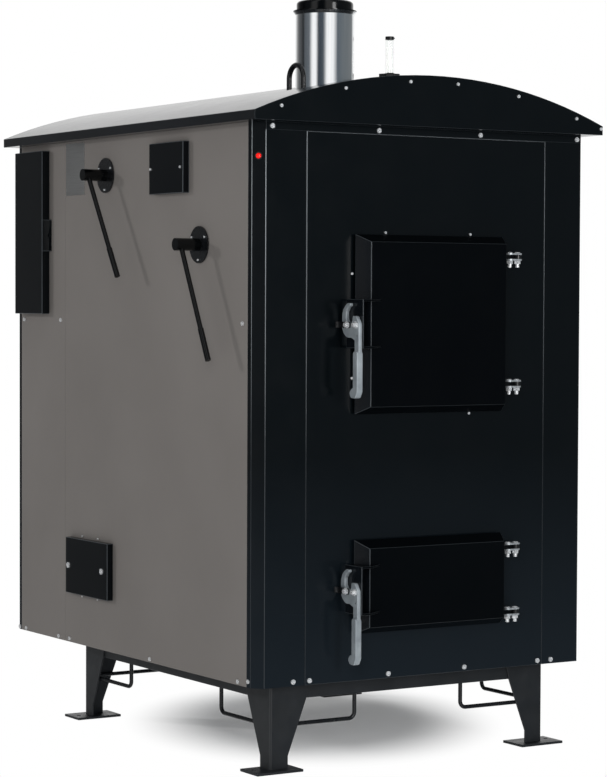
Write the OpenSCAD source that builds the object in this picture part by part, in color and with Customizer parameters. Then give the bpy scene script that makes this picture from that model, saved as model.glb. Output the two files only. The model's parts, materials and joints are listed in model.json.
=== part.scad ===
// Outdoor wood boiler: insulated steel cabinet on legs, water-jacketed firebox over a
// lower burn chamber, two front doors, fire tubes with a cleaning lever, curved roof.
// Millimetres, +Z up, front faces -Y. Origin: floor level, centre of the four anchor holes.

/* [Cabinet] */
// Width over the side panels
cab_w = 1188; // [1100:1:1500]
// Depth from front panel to rear panel
cab_d = 1600; // [1500:1:1900]
// Height of the side and front panels
panel_h = 1640; // [1600:1:1900]
// Height of the panels' lower edge above the floor
skirt_z = 265; // [250:1:285]
// Height of the strip between the front panels and the roof
header_h = 24; // [20:1:30]
// Panel sheet thickness
sheet_t = 1.5; // [1:0.1:2]
// Depth of the folded panel edges
fold = 18; // [14:1:24]
// Gap between neighbouring panels
seam_gap = 0.6; // [0.4:0.1:0.9]
// Leg of the 45 degree front left corner
chamfer = 30; // [20:1:34]
// How far the front corner panels return along the sides
corner_return = 52; // [46:1:70]
// Distance from each front corner flat to the front seam
front_seam = 141; // [120:1:160]
// Depth of the rear bay behind the side seam
rear_bay = 354; // [350:1:400]
// Front panel ahead of the legs
front_over = 65; // [55:1:80]

/* [Roof] */
// Roof overhang at the sides
roof_side = 42; // [30:1:60]
// Roof overhang at the front
roof_front = 57; // [40:1:80]
// Roof overhang at the rear
roof_back = 37; // [30:1:60]
// Height of the straight eave edge
fascia_h = 28; // [20:1:40]
// Rise of the arch from eave edge to crest
roof_rise = 127; // [110:1:160]
// Roof sheet thickness
roof_t = 2; // [1.5:0.5:3]

/* [Base] */
// Width over the frame rails
frame_w = 1000; // [960:1:1040]
// Depth over the frame rails
frame_d = 1196; // [1180:1:1240]
// Rail width
rail_w = 50; // [40:1:60]
// Rail height
rail_h = 76; // [60:1:80]
// Height of the rails' lower edge
rail_z = 214; // [205:1:220]
// Leg plate thickness
leg_t = 6; // [5:1:8]
// Leg flange width at the rail
leg_top_w = 129; // [110:1:140]
// Leg flange width at the foot, across the front
leg_foot_x = 65; // [50:1:80]
// Leg flange width at the foot, along the side
leg_foot_y = 55; // [45:1:70]
// Foot plate width
foot_x = 160; // [140:1:180]
// Foot plate depth
foot_y = 102; // [90:1:120]
// Foot plate thickness
foot_t = 8; // [6:1:12]
// Anchor hole radius
anchor_r = 7; // [6:0.5:8]
// Tie-down bar diameter
loop_bar = 12.7; // [10:0.1:16]
// Length of each tie-down bar's straight reach from the leg corner
loop_reach = 309; // [250:1:340]

/* [Doors] */
// Door centre across the front
door_cx = 11; // [0:1:20]
// Width of both doors at the back edge
door_w = 542; // [520:1:560]
// Loading door height at the back edge
load_h = 538; // [500:1:560]
// Loading door centre height
load_cz = 1336; // [1330:1:1345]
// Ash door height at the back edge
ash_h = 283; // [270:1:300]
// Ash door centre height
ash_cz = 549.5; // [545:0.5:555]
// Door depth
door_d = 53; // [45:1:60]
// Slope of the door's edges, measured across the face
door_bevel = 23; // [18:1:26]
// Door sheet thickness
door_t = 3; // [2:0.5:4]
// Gap between front panel and door
door_gap = 12; // [10:1:14]
// Clear width of both throats
throat_w = 460; // [440:1:470]
// Clear height of the loading throat
load_throat_h = 460; // [440:1:470]
// Clear height of the ash throat
ash_throat_h = 220; // [210:1:224]
// Clearance round the door plugs
plug_gap = 10; // [8:1:14]

/* [Hinges and latches] */
// Hinge bolt diameter
bolt_d = 12; // [10:1:14]
// Distance between the two bolts of a hinge link
link_len = 29; // [28:1:32]
// Hinge link plate thickness
link_t = 5; // [4:0.5:6]
// Hinge lug thickness
lug_t = 12.6; // [10:0.2:14]
// Radial running clearance on hinge bolts, shafts and pivots
run_gap = 0.08; // [0.04:0.01:0.1]
// Latch casting thickness
latch_t = 12.6; // [10:0.2:14]
// Latch pivot height above the loading door's centre line
latch_up = -1; // [-6:1:6]
// Ash latch pivot height above the ash door's centre line
ash_latch_up = -5.5; // [-8:0.5:0]

/* [Vessel] */
// Width of the water jacket
jacket_w = 880; // [860:1:900]
// Depth of the water jacket
jacket_d = 1100; // [1080:1:1120]
// Height of the water jacket
jacket_h = 1370; // [1360:1:1380]
// Jacket plate thickness
jacket_t = 5; // [4:1:6]
// Clear width of the firebox
box_w = 600; // [580:1:620]
// Clear depth of the firebox
box_d = 800; // [780:1:820]
// Firebox plate thickness
box_t = 6; // [5:1:8]
// Fire tube outer diameter
tube_od = 76; // [70:1:80]
// Fire tube wall
tube_wall = 3.5; // [3:0.5:4]
// Number of fire tubes
tube_n = 5; // [3:1:5]
// Chimney outer diameter
flue_od = 177; // [160:1:190]
// Chimney bore
flue_id = 152.4; // [140:0.1:160]
// Height of the chimney rim above the roof crest
flue_rise = 189; // [120:1:300]

/* [Levers] */
// Lever shaft diameter
shaft_d = 25; // [20:1:28]
// Length of the lever rods
rod_len = 385; // [320:1:390]
// Lean of the resting front lever from vertical
bypass_lean = 26; // [20:1:30]
// Lean of the resting rear lever from vertical
cleaner_lean = 32; // [26:1:36]
// Flange diameter
flange_d = 112; // [100:1:120]

/* [Hidden] */

$fn = 48;
eps = 1;

// Cabinet planes
x_side = cab_w / 2;
y_front = -(frame_d / 2 + leg_t + front_over);
y_rear = y_front + cab_d;
z_panel = skirt_z + panel_h;
z_eave = z_panel + header_h;
y_corner = y_front + corner_return;
y_seam = y_rear - rear_bay;
x_seam_l = -x_side + chamfer + front_seam;
x_seam_r = x_side - front_seam;
x_in = x_side - fold;
y_in_front = y_front + fold;
y_in_rear = y_rear - fold;
floor_t = 2;
z_floor = rail_z + rail_h;
post = 30;

// Roof
roof_half = x_side + roof_side;
z_fascia = z_eave + fascia_h;
z_crest = z_fascia + roof_rise;
roof_r = (roof_half * roof_half + roof_rise * roof_rise) / (2 * roof_rise);
roof_cz = z_crest - roof_r;
y_roof_f = y_front - roof_front;
y_roof_b = y_rear + roof_back;
function roof_z(x) = roof_cz + sqrt(roof_r * roof_r - x * x);

// Anchors
anchor_out = 37;
anchor_in = 27;
anchor_x = frame_w / 2 + leg_t + anchor_out;
anchor_y = frame_d / 2 + leg_t - anchor_in;

// Vessel planes
saddle_h = 38;
z_jacket = z_floor + floor_t + saddle_h;
z_jacket_top = z_jacket + jacket_h;
jacket_hw = jacket_w / 2;
y_jacket_f = y_front + 69;
y_jacket_r = y_jacket_f + jacket_d;
y_box_f = y_jacket_f + 60;
y_box_r = y_box_f + box_d;
z_box = z_jacket + 462;
z_box_top = z_box + 808;
z_low = z_jacket + 100;
z_low_top = z_box - 2 * box_t;
low_hw = 250;
y_low_r = y_box_r + 170;
table_t = 70;
tube_y = y_box_r + 90;
tube_pitch = 90;
throat_t = 6;
throat_gap = 5;
y_throat = y_front - 7;
y_door = y_front - door_gap;
slot_w = 40;
slot_d = 400;
slot_from = 240;
weld_gap = 0.1;

// Smoke duct
duct_t = 3;
duct_h = 160;
z_duct_top = z_jacket_top + duct_h;
duct_x0 = -368;
duct_x1 = -160;
duct_y0 = y_front + 29;
head_x1 = 260;
head_y0 = y_box_r - 60;
head_y1 = y_box_r + 180;
flue_x = -280;
flue_y = y_front + 131;
z_rim = z_crest + flue_rise;

// Bypass neck between firebox and smoke duct
neck_x = -230;
neck_w = 120;
neck_y0 = y_box_f + 46;
neck_d = 140;
neck_t = 6;
bypass_y = neck_y0 + neck_d + 23;
bypass_z = z_box_top - 26;
flap_t = 6;

// Tube cleaner
clean_y = y_box_r + 23;
clean_z = z_jacket_top + 107;
crank_r = 67;
crank_dip = 35;
crank_pin = 5;
hang_z = z_jacket_top + 45;
lug_x = 120;

// Rear bay
fan_x = 260;
fan_z = 1100;
fan_r = 103;
plenum_d = 100;
y_fan = y_jacket_r + plenum_d;
fan_d = 70;
pipe_r = 21;
pipe_bore = 17.5;
pipe_y = frame_d / 2 + pipe_r + 11;
pipe_bend = 45;
supply_x = 385;
supply_z = 1600;
return_x = 335;
return_z = 400;
drain_x = -300;
drain_z = 385;
valve_y = y_jacket_r + 50;
valve_r = 30;
pipe_end_z = 245;

// Control box opening in the left rear panel
cb_y0 = y_seam + 135;
cb_y1 = y_in_rear - post - 5;
cb_z0 = 1368;
cb_z1 = 1885;
cb_depth = 92;
cb_cover_y0 = y_seam + 120;
cb_cover_y1 = y_rear - 24;
cb_cover_z0 = 1358;
cb_cover_z1 = 1906;
cb_cover_d = 28;
cb_hinge_x = -x_side - 7;
hasp_reach = 17;
hasp_z0 = 1569;
hasp_z1 = 1675;
cb_hinge_y = cb_cover_y1 + 7;

// Hinge and latch places
hinge_y = y_front - 30;
frame_bolt_x = door_cx + door_w / 2 + 44;
door_bolt_x = frame_bolt_x - link_len;
lug_end_r = 13;
lug_gap = 0.2;
hinge_inset = 50;
function hinge_tops(cz, h) = [cz + h / 2 - hinge_inset, cz - h / 2 + 96];
load_hinges = hinge_tops(load_cz, load_h);
ash_hinges = [ash_cz + ash_h / 2 - 33, ash_cz - ash_h / 2 + 48];
nut_t = 10;
bolt_r = bolt_d / 2;
latch_y = y_front - 91;
latch_x = door_cx - door_w / 2 - 33;
latch_z = load_cz + latch_up;
ash_latch_z = ash_cz + ash_latch_up;
catch_dy = 38;
catch_clear = 3;
bracket_up = 76;
bracket_down = 69;
plate_t = 6;

// Sight tube
sight_x = -20;
sight_y = y_front + 169;
sight_r = 13.2;
sight_len = 108;
z_sight = z_crest + 17;
vent_r = 17;
float_r = 11;
float_wire_r = 2.5;
float_drop = 70;
gauge_r = 8.5;
gauge_top = 86;
wing_len = 17;
wing_w = 20;

// Lifting hoop beside the chimney
hoop_bar = 16;
hoop_gap = 8.5;
hoop_x = flue_x - flue_od / 2 - hoop_bar / 2 - hoop_gap;
hoop_y = flue_y - 7;
hoop_r = 40;
hoop_top = 79;

// ---------- shared shapes ----------

module box(x0, x1, y0, y1, z0, z1) {
    translate([x0, y0, z0]) cube([x1 - x0, y1 - y0, z1 - z0]);
}

module both_sides() {
    children();
    mirror([1, 0, 0]) children();
}

// Folded panel on the left side, open towards the inside
module side_tray(y0, y1, z0, z1) {
    difference() {
        box(-x_side, -x_side + fold, y0, y1, z0, z1);
        box(-x_side + sheet_t, -x_side + fold + eps, y0 + sheet_t, y1 - sheet_t,
            z0 + sheet_t, z1 - sheet_t);
    }
}

// Folded panel facing -Y, open towards the inside
module front_tray(x0, x1, z0, z1, y, d) {
    difference() {
        box(x0, x1, y, y + d, z0, z1);
        box(x0 + sheet_t, x1 - sheet_t, y + sheet_t, y + d + eps, z0 + sheet_t, z1 - sheet_t);
    }
}

// Open square tube along Y
module duct_y(x0, x1, y0, y1, z0, z1, t) {
    difference() {
        box(x0, x1, y0, y1, z0, z1);
        box(x0 + t, x1 - t, y0 - eps, y1 + eps, z0 + t, z1 - t);
    }
}

// The same from four plates with weld gaps between them, given by its bore
module plate_duct_y(x0, x1, y0, y1, z0, z1, t) {
    for (z = [z0 - t, z1]) box(x0 - t, x1 + t, y0, y1, z, z + t);
    for (x = [x0 - t, x1]) box(x, x + t, y0, y1, z0 + weld_gap, z1 - weld_gap);
}

// Cylinders along X and Y
module rod_x(x0, x1, y, z, r) {
    translate([x0, y, z]) rotate([0, 90, 0]) cylinder(r = r, h = x1 - x0);
}

module rod_y(x, y0, y1, z, r) {
    translate([x, y0, z]) rotate([-90, 0, 0]) cylinder(r = r, h = y1 - y0);
}

module rod_z(x, y, z0, z1, r) {
    translate([x, y, z0]) cylinder(r = r, h = z1 - z0);
}

// ---------- panel screws ----------

screw_head_r = 5;
wide_head_r = 7.5;
side_head_r = 6.5;
frame_head_r = 4;
port_head_r = 3;
cover_head_r = 9.5;
flange_head_r = 3.3;
screw_head_h = 3.5;
screw_r = 2.4;
screw_hole_r = 2.7;
screw_len = 8;
low_screw_z = skirt_z + 13;
mid_screw_z = skirt_z + 1073;

// Points as [across, up] on the front panels
low_first = x_seam_l + 15;
low_pitch = (x_seam_r - 16.5 - low_first) / 3;
low_screws = concat([[x_seam_l - 42, low_screw_z], [x_seam_r + 35.5, low_screw_z]],
    [for (k = [0:3]) [low_first + k * low_pitch, low_screw_z]]);
frame_screws = concat(
    [for (s = [-1, 1]) [door_cx + s * 156, load_cz + load_h / 2 + 6]],
    [[door_cx - door_w / 2 - 4, load_cz + 151], [door_cx - door_w / 2 - 4, load_cz - 161],
     [door_cx + 155, load_cz - load_h / 2 - 5], [door_cx - door_w / 2 - 4, ash_cz + 27]]);
header_screws = [for (k = [0:3]) [-x_side + 51 + k * (cab_w - 68) / 3, z_panel + 11]];
gable_xs = [-547, -325, -95, 78, 306, 531];
gable_inset = 20;
gable_screws = concat([for (x = gable_xs) [x, roof_z(x) - gable_inset]],
    [[roof_half - 8, z_fascia - 9]]);

// Points as [along, up] on the side panels
side_screws = [[y_rear - 7, skirt_z + 10], [y_in_rear - 39, skirt_z + 10],
    [y_seam + 47, skirt_z + 11], [y_seam - 35, skirt_z + 12],
    [(y_corner + y_seam) / 2, skirt_z + 11], [y_corner + 48, skirt_z + 11],
    [y_in_rear - 25, mid_screw_z], [y_seam + 32, mid_screw_z], [y_corner + 27, mid_screw_z],
    [y_corner - 11, skirt_z + 18]];

module on_front(points, y) {
    for (p = points) translate([p[0], y, p[1]]) rotate([-90, 0, 0]) children();
}

module on_rear(points, y) {
    for (p = points) translate([p[0], y, p[1]]) rotate([90, 0, 0]) children();
}

module on_left(points) {
    for (p = points) translate([-x_side, p[0], p[1]]) rotate([0, 90, 0]) children();
}

// Local +Z runs into the panel
module screw(head_r = screw_head_r) {
    translate([0, 0, -screw_head_h]) cylinder(r = head_r, h = screw_head_h);
    cylinder(r = screw_r, h = screw_len);
}

module screw_hole() {
    translate([0, 0, -eps]) cylinder(r = screw_hole_r, h = screw_len + 2 * eps);
}

// ---------- base ----------

module base_frame() color("#17191b") {
    hw = frame_w / 2;
    hd = frame_d / 2;
    for (s = [-1, 1]) {
        translate([s * (hw - rail_w / 2) - rail_w / 2, -hd, rail_z]) cube([rail_w, frame_d, rail_h]);
        translate([-hw + rail_w, s * (hd - rail_w / 2) - rail_w / 2, rail_z])
            cube([frame_w - 2 * rail_w, rail_w, rail_h]);
    }
    translate([-hw + rail_w, -rail_w / 2, rail_z]) cube([frame_w - 2 * rail_w, rail_w, rail_h]);
    for (y = [y_jacket_f + 150, y_jacket_r - 210])
        translate([-jacket_hw + 40, y, z_floor + floor_t]) cube([jacket_w - 80, 60, saddle_h]);
}

// Plan outline of a folded angle with its outer corner at the origin
module angle_plan(w, t, r) {
    translate([r, 0]) square([w - r, t]);
    translate([0, r]) square([t, w - r]);
    difference() {
        intersection() {
            square(r);
            translate([r, r]) circle(r);
        }
        translate([t, t]) square(r);
    }
}

// Flange outline: narrow at the foot, wide at the rail
module flange_outline(w_foot, w_top, z_end) {
    z_low_end = 46;
    polygon([[-eps, foot_t], [w_foot, foot_t], [w_foot, z_low_end], [w_top, rail_z],
        [w_top + 20, z_end], [-eps, z_end]]);
}

module leg() {
    full = leg_top_w + 25;
    translate([-frame_w / 2 - leg_t, -frame_d / 2 - leg_t, 0]) intersection() {
        translate([0, 0, foot_t]) linear_extrude(z_floor - foot_t) angle_plan(full, leg_t, leg_t + 3);
        translate([0, full, 0]) rotate([90, 0, 0])
            linear_extrude(full + eps) flange_outline(leg_foot_x, leg_top_w, z_floor);
        rotate([90, 0, 90]) linear_extrude(full) flange_outline(leg_foot_y, leg_top_w, z_floor);
    }
}

module at_corners() {
    for (sx = [0, 1]) for (sy = [0, 1]) mirror([sx, 0, 0]) mirror([0, sy, 0]) children();
}

module legs() color("#26282c") at_corners() leg();

module foot_plates() color("#202225") at_corners() difference() {
    translate([-frame_w / 2 - leg_t - 60, -frame_d / 2 - leg_t - 32, 0])
        cube([foot_x, foot_y, foot_t]);
    translate([-anchor_x, -anchor_y, -eps]) cylinder(r = anchor_r, h = foot_t + 2 * eps);
}

// One bent bar per leg: down from the side rail, round the corner and up to the front rail
loop_in = 7;
loop_z = 138;
loop_bend = 20;
module bar_elbow(turn) {
    rotate_extrude(angle = turn) translate([loop_bend, 0]) circle(loop_bar / 2);
}

module tie_down_loop() {
    x0 = -frame_w / 2 + loop_in;
    y0 = -frame_d / 2 + loop_in;
    x1 = -frame_w / 2 - leg_t + loop_reach;
    y1 = -frame_d / 2 - leg_t + loop_reach;
    b = loop_bend;
    r = loop_bar / 2;
    rod_z(x1, y0, loop_z + b, rail_z, r);
    rod_z(x0, y1, loop_z + b, rail_z, r);
    rod_x(x0 + b, x1 - b, y0, loop_z, r);
    rod_y(x0, y0 + b, y1 - b, loop_z, r);
    translate([x0 + b, y0 + b, loop_z]) rotate([0, 0, 180]) bar_elbow(90);
    translate([x1 - b, y0, loop_z + b]) rotate([90, 0, 0]) rotate([0, 0, -90]) bar_elbow(90);
    translate([x0, y1 - b, loop_z + b]) rotate([90, 0, 90]) rotate([0, 0, -90]) bar_elbow(90);
}

module tie_down_loops() color("#15171a") at_corners() tie_down_loop();

module floor_pan() color("#1b1d20") difference() {
    box(-x_in, x_in, y_in_front, y_in_rear, z_floor, z_floor + floor_t);
    for (x = [supply_x, return_x, drain_x])
        rod_z(x, pipe_y, z_floor - eps, z_floor + floor_t + eps, pipe_r + 3);
}

// ---------- pressure vessel ----------

tube_xs = [for (k = [0:tube_n - 1]) (k - (tube_n - 1) / 2) * tube_pitch];
load_throat_z0 = load_cz - load_throat_h / 2;
ash_throat_z0 = ash_cz - ash_throat_h / 2;

module throat_hole(z0, h, grow, y0, y1) {
    box(door_cx - throat_w / 2 - grow, door_cx + throat_w / 2 + grow, y0, y1, z0 - grow, z0 + h + grow);
}

module both_throat_holes(grow, y0, y1) {
    throat_hole(load_throat_z0, load_throat_h, grow, y0, y1);
    throat_hole(ash_throat_z0, ash_throat_h, grow, y0, y1);
}

port_y0 = tube_y - 50;
port_y1 = tube_y + 70;
port_z0 = z_low + 20;
port_z1 = z_low + 170;
port_t = 5;
// Port frame screws just above and below the lower cover
port_screws = [for (y = [port_y0 + 37, port_y1 + 28]) for (z = [427, 626]) [y, z]];
air_w = 80;
air_t = 4;

module water_jacket() color("#3a4046") difference() {
    box(-jacket_hw, jacket_hw, y_jacket_f, y_jacket_r, z_jacket, z_jacket_top);
    box(-jacket_hw + jacket_t, jacket_hw - jacket_t, y_jacket_f + jacket_t, y_jacket_r - jacket_t,
        z_jacket + jacket_t, z_jacket_top - jacket_t);
    both_throat_holes(throat_t, y_jacket_f - eps, y_jacket_f + jacket_t + eps);
    for (x = tube_xs) rod_z(x, tube_y, z_jacket_top - 2 * jacket_t, z_jacket_top + eps, tube_od / 2);
    box(neck_x - neck_w / 2 - neck_t, neck_x + neck_w / 2 + neck_t, neck_y0 - neck_t,
        neck_y0 + neck_d + neck_t, z_jacket_top - 2 * jacket_t, z_jacket_top + eps);
    rod_x(-jacket_hw - eps, -jacket_hw + 2 * jacket_t, bypass_y, bypass_z, 19);
    box(-jacket_hw - eps, -jacket_hw + 2 * jacket_t, port_y0, port_y1, port_z0, port_z1);
    box(fan_x - air_w / 2, fan_x + air_w / 2, y_jacket_r - 2 * jacket_t, y_jacket_r + eps,
        fan_z - air_w / 2, fan_z + air_w / 2);
    rod_y(supply_x, y_jacket_r - 2 * jacket_t, y_jacket_r + eps, supply_z, pipe_bore);
    rod_y(return_x, y_jacket_r - 2 * jacket_t, y_jacket_r + eps, return_z, pipe_bore);
    rod_y(drain_x, y_jacket_r - 2 * jacket_t, y_jacket_r + eps, drain_z, pipe_bore);
    rod_z(sight_x, sight_y, z_jacket_top - 2 * jacket_t, z_jacket_top + eps, vent_r - 4);
}

// Welded from flat plates, with the fit-up gap of a weld joint between neighbours
module firebox() color("#4a4640") {
    t = box_t;
    g = weld_gap;
    w = box_w / 2;
    slot_y = y_box_f + slot_from;
    difference() {
        box(-w - t, w + t, y_box_f - t, y_box_f, z_box - t, z_box_top + t);
        throat_hole(load_throat_z0, load_throat_h, 0, y_box_f - t - eps, y_box_f + eps);
    }
    difference() {
        box(-low_hw - t, low_hw + t, y_box_f - t, y_box_f, z_low - t, z_box - t - g);
        throat_hole(ash_throat_z0, ash_throat_h, 0, y_box_f - t - eps, y_box_f + eps);
    }
    difference() {
        box(-w, w, y_box_f + g, y_box_r - g, z_box_top, z_box_top + t);
        box(neck_x - neck_w / 2, neck_x + neck_w / 2, neck_y0, neck_y0 + neck_d,
            z_box_top - eps, z_box_top + t + eps);
    }
    difference() {
        box(-w - t, -w - g, y_box_f + g, y_box_r + t, z_box, z_box_top + t);
        rod_x(-w - t - eps, -w, bypass_y, bypass_z, shaft_d / 2 + 1.5);
    }
    box(w + g, w + t, y_box_f + g, y_box_r + t, z_box, z_box_top + t);
    difference() {
        box(-w, w, y_box_r, y_box_r + t, z_box, z_box_top + t);
        box(fan_x - air_w / 2 + air_t, fan_x + air_w / 2 - air_t, y_box_r - eps, y_box_r + t + eps,
            fan_z - air_w / 2 + air_t, fan_z + air_w / 2 - air_t);
    }
    difference() {
        box(-w - t, w + t, y_box_f + g, y_box_r + t, z_box - t, z_box - g);
        box(-slot_w / 2, slot_w / 2, slot_y, slot_y + slot_d, z_box - t - eps, z_box);
    }
    difference() {
        box(-low_hw, low_hw, y_box_f + g, y_low_r - g, z_low_top, z_box - t - g);
        box(-slot_w / 2, slot_w / 2, slot_y, slot_y + slot_d, z_low_top - eps, z_box);
        for (x = tube_xs) rod_z(x, tube_y, z_low_top - eps, z_box, tube_od / 2);
    }
    difference() {
        box(-low_hw - t, -low_hw - g, y_box_f + g, y_low_r + t, z_low, z_box - t - g);
        box(-low_hw - t - eps, -low_hw, port_y0 + port_t, port_y1 - port_t,
            port_z0 + port_t, port_z1 - port_t);
    }
    box(low_hw + g, low_hw + t, y_box_f + g, y_low_r + t, z_low, z_box - t - g);
    box(-low_hw, low_hw, y_low_r, y_low_r + t, z_low, z_box - t - g);
    box(-low_hw - t, low_hw + t, y_box_f + g, y_low_r + t, z_low - t, z_low - g);
}

module refractory() color("#c9b79a") {
    difference() {
        box(-box_w / 2 + 1, box_w / 2 - 1, y_box_f + 1, y_box_r - 1, z_box, z_box + table_t);
        box(-slot_w / 2, slot_w / 2, y_box_f + slot_from, y_box_f + slot_from + slot_d,
            z_box - eps, z_box + table_t + eps);
    }
    difference() {
        box(-low_hw + 1, low_hw - 1, y_box_f + 100, y_box_r - 10, z_low, z_low + 210);
        box(-150, 150, y_box_f + 100 - eps, y_box_r - 10 + eps, z_low + 50, z_low + 210 + eps);
    }
}

module fire_tubes() color("#6a6a68") for (x = tube_xs) difference() {
    rod_z(x, tube_y, z_low_top, z_jacket_top, tube_od / 2);
    rod_z(x, tube_y, z_low_top - eps, z_jacket_top + eps, tube_od / 2 - tube_wall);
}

module duct_plan(t) {
    translate([duct_x0 + t, duct_y0 + t])
        square([duct_x1 - duct_x0 - 2 * t, head_y1 - duct_y0 - 2 * t]);
    translate([duct_x0 + t, head_y0 + t])
        square([head_x1 - duct_x0 - 2 * t, head_y1 - head_y0 - 2 * t]);
}

module smoke_duct() color("#55585a") difference() {
    union() {
        translate([0, 0, z_jacket_top]) linear_extrude(duct_h) duct_plan(0);
        rod_x(head_x1, head_x1 + 14, clean_y, clean_z, 22);
    }
    translate([0, 0, z_jacket_top + duct_t]) linear_extrude(duct_h - 2 * duct_t) duct_plan(duct_t);
    rod_z(flue_x, flue_y, z_duct_top - 2 * duct_t, z_duct_top + eps, flue_id / 2);
    for (x = tube_xs)
        rod_z(x, tube_y, z_jacket_top - eps, z_jacket_top + 2 * duct_t, tube_od / 2 - tube_wall);
    box(neck_x - neck_w / 2, neck_x + neck_w / 2, neck_y0, neck_y0 + neck_d,
        z_jacket_top - eps, z_jacket_top + 2 * duct_t);
    rod_x(duct_x0 - eps, duct_x0 + 2 * duct_t, clean_y, clean_z, shaft_d / 2 + 1.5);
    rod_x(head_x1 - 2 * duct_t, head_x1 + 10, clean_y, clean_z, shaft_d / 2 + run_gap);
}

// Welded passages through the water space
module vessel_ports() color("#5a5d60") {
    for (p = [[load_throat_z0, load_throat_h], [ash_throat_z0, ash_throat_h]])
        plate_duct_y(door_cx - throat_w / 2, door_cx + throat_w / 2, y_throat, y_box_f - box_t,
            p[0], p[0] + p[1], throat_t);
    difference() {
        box(neck_x - neck_w / 2 - neck_t, neck_x + neck_w / 2 + neck_t, neck_y0 - neck_t,
            neck_y0 + neck_d + neck_t, z_box_top + box_t, z_jacket_top);
        box(neck_x - neck_w / 2, neck_x + neck_w / 2, neck_y0, neck_y0 + neck_d,
            z_box_top, z_jacket_top + eps);
    }
    difference() {
        rod_x(-jacket_hw, -box_w / 2 - box_t, bypass_y, bypass_z, 19);
        rod_x(-jacket_hw - eps, -box_w / 2, bypass_y, bypass_z, shaft_d / 2 + 1.5);
    }
    duct_y(fan_x - air_w / 2, fan_x + air_w / 2, y_box_r + box_t, y_jacket_r,
        fan_z - air_w / 2, fan_z + air_w / 2, air_t);
    difference() {
        box(-jacket_hw - 12, -low_hw - box_t, port_y0, port_y1, port_z0, port_z1);
        box(-jacket_hw - 13, -low_hw, port_y0 + port_t, port_y1 - port_t,
            port_z0 + port_t, port_z1 - port_t);
    }
    box(-jacket_hw - 20, -jacket_hw - 12, port_y0 - 10, port_y1 + 10, port_z0 - 10, port_z1 + 10);
}

module insulation() color("#d8c46a") {
    gap = 0.3;
    difference() {
        both_sides() box(-x_in + gap, -jacket_hw - gap, y_jacket_f, y_jacket_r, z_jacket, z_jacket_top);
        rod_x(-x_in, -jacket_hw, bypass_y, bypass_z, 24);
        box(-x_in, -jacket_hw, port_y0 - 12, port_y1 + 12, port_z0 - 12, port_z1 + 12);
    }
    difference() {
        box(-540, 540, y_in_front + gap, y_jacket_f - gap, z_jacket, z_jacket_top);
        both_throat_holes(throat_t + 1, y_in_front, y_jacket_f);
    }
}

// ---------- cabinet ----------

module cabinet_frame() color("#8d9296") difference() {
    rib_w = 40;
    rib_gap = 0.3;
    union() {
        both_sides() {
            for (y = [y_in_front, y_seam - post / 2, y_in_rear - post])
                box(-x_in, -x_in + post, y, y + post, z_floor + floor_t, z_eave - 3);
            box(-x_in, -x_in + post, y_in_front + post, y_seam - post / 2, z_eave - 33, z_eave - 3);
            box(-x_in, -x_in + post, y_seam + post / 2, y_in_rear - post, z_eave - 33, z_eave - 3);
        }
        for (y = [y_in_front, y_in_rear - post])
            box(-x_in + post, x_in - post, y, y + post, z_eave - 33, z_eave - 3);
        for (y = [y_front + 369, y_seam - 17]) translate([0, y + 3, 0]) rotate([90, 0, 0])
            linear_extrude(3) {
                intersection() {
                    translate([0, roof_cz]) difference() {
                        circle(roof_r - roof_t - rib_gap, $fn = 180);
                        circle(roof_r - roof_t - rib_w, $fn = 180);
                    }
                    translate([-x_in, z_eave]) square([2 * x_in, z_crest]);
                }
                for (s = [-1, 1]) translate([s * (x_in - post / 2) - post / 2, z_eave - 3])
                    square([post, roof_z(x_in) - z_eave - 10]);
            }
    }
    rod_z(flue_x, flue_y, z_eave - post - 5, z_eave, flue_od / 2 + 3);
    at_lamp() cylinder(r = lamp_hole_r, h = 24);
}

module front_panel_centre() color("#0d1318") difference() {
    front_tray(x_seam_l + seam_gap / 2, x_seam_r - seam_gap / 2, skirt_z, z_panel, y_front, fold);
    both_throat_holes(throat_t + 3, y_front - eps, y_front + fold);
    on_front(concat(low_screws, frame_screws), y_front) screw_hole();
}

// Plan of the left corner panel: seam fold, face, 45 degree corner, side return and fold
module corner_plan_left() {
    t = sheet_t;
    k = t * tan(22.5);
    x_s = x_seam_l - seam_gap / 2;
    y_c = y_corner - seam_gap / 2;
    polygon([[x_s, y_front + fold], [x_s, y_front], [-x_side + chamfer, y_front],
        [-x_side, y_front + chamfer], [-x_side, y_c], [-x_side + fold, y_c],
        [-x_side + fold, y_c - t], [-x_side + t, y_c - t], [-x_side + t, y_front + chamfer + k],
        [-x_side + chamfer + k, y_front + t], [x_s - t, y_front + t], [x_s - t, y_front + fold]]);
}

module corner_plan_right() {
    t = sheet_t;
    x_s = x_seam_r + seam_gap / 2;
    y_c = y_corner - seam_gap / 2;
    polygon([[x_s, y_front + fold], [x_s, y_front], [x_side, y_front], [x_side, y_c],
        [x_side - fold, y_c], [x_side - fold, y_c - t], [x_side - t, y_c - t],
        [x_side - t, y_front + t], [x_s + t, y_front + t], [x_s + t, y_front + fold]]);
}

lamp_z = z_panel - 77;
lamp_x = -x_side + chamfer / 2;
lamp_y = y_front + chamfer / 2;
lamp_r = 11.5;
lamp_hole_r = 6.3;

module at_lamp() {
    translate([lamp_x, lamp_y, lamp_z]) rotate([0, 0, -45]) rotate([-90, 0, 0]) children();
}

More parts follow.
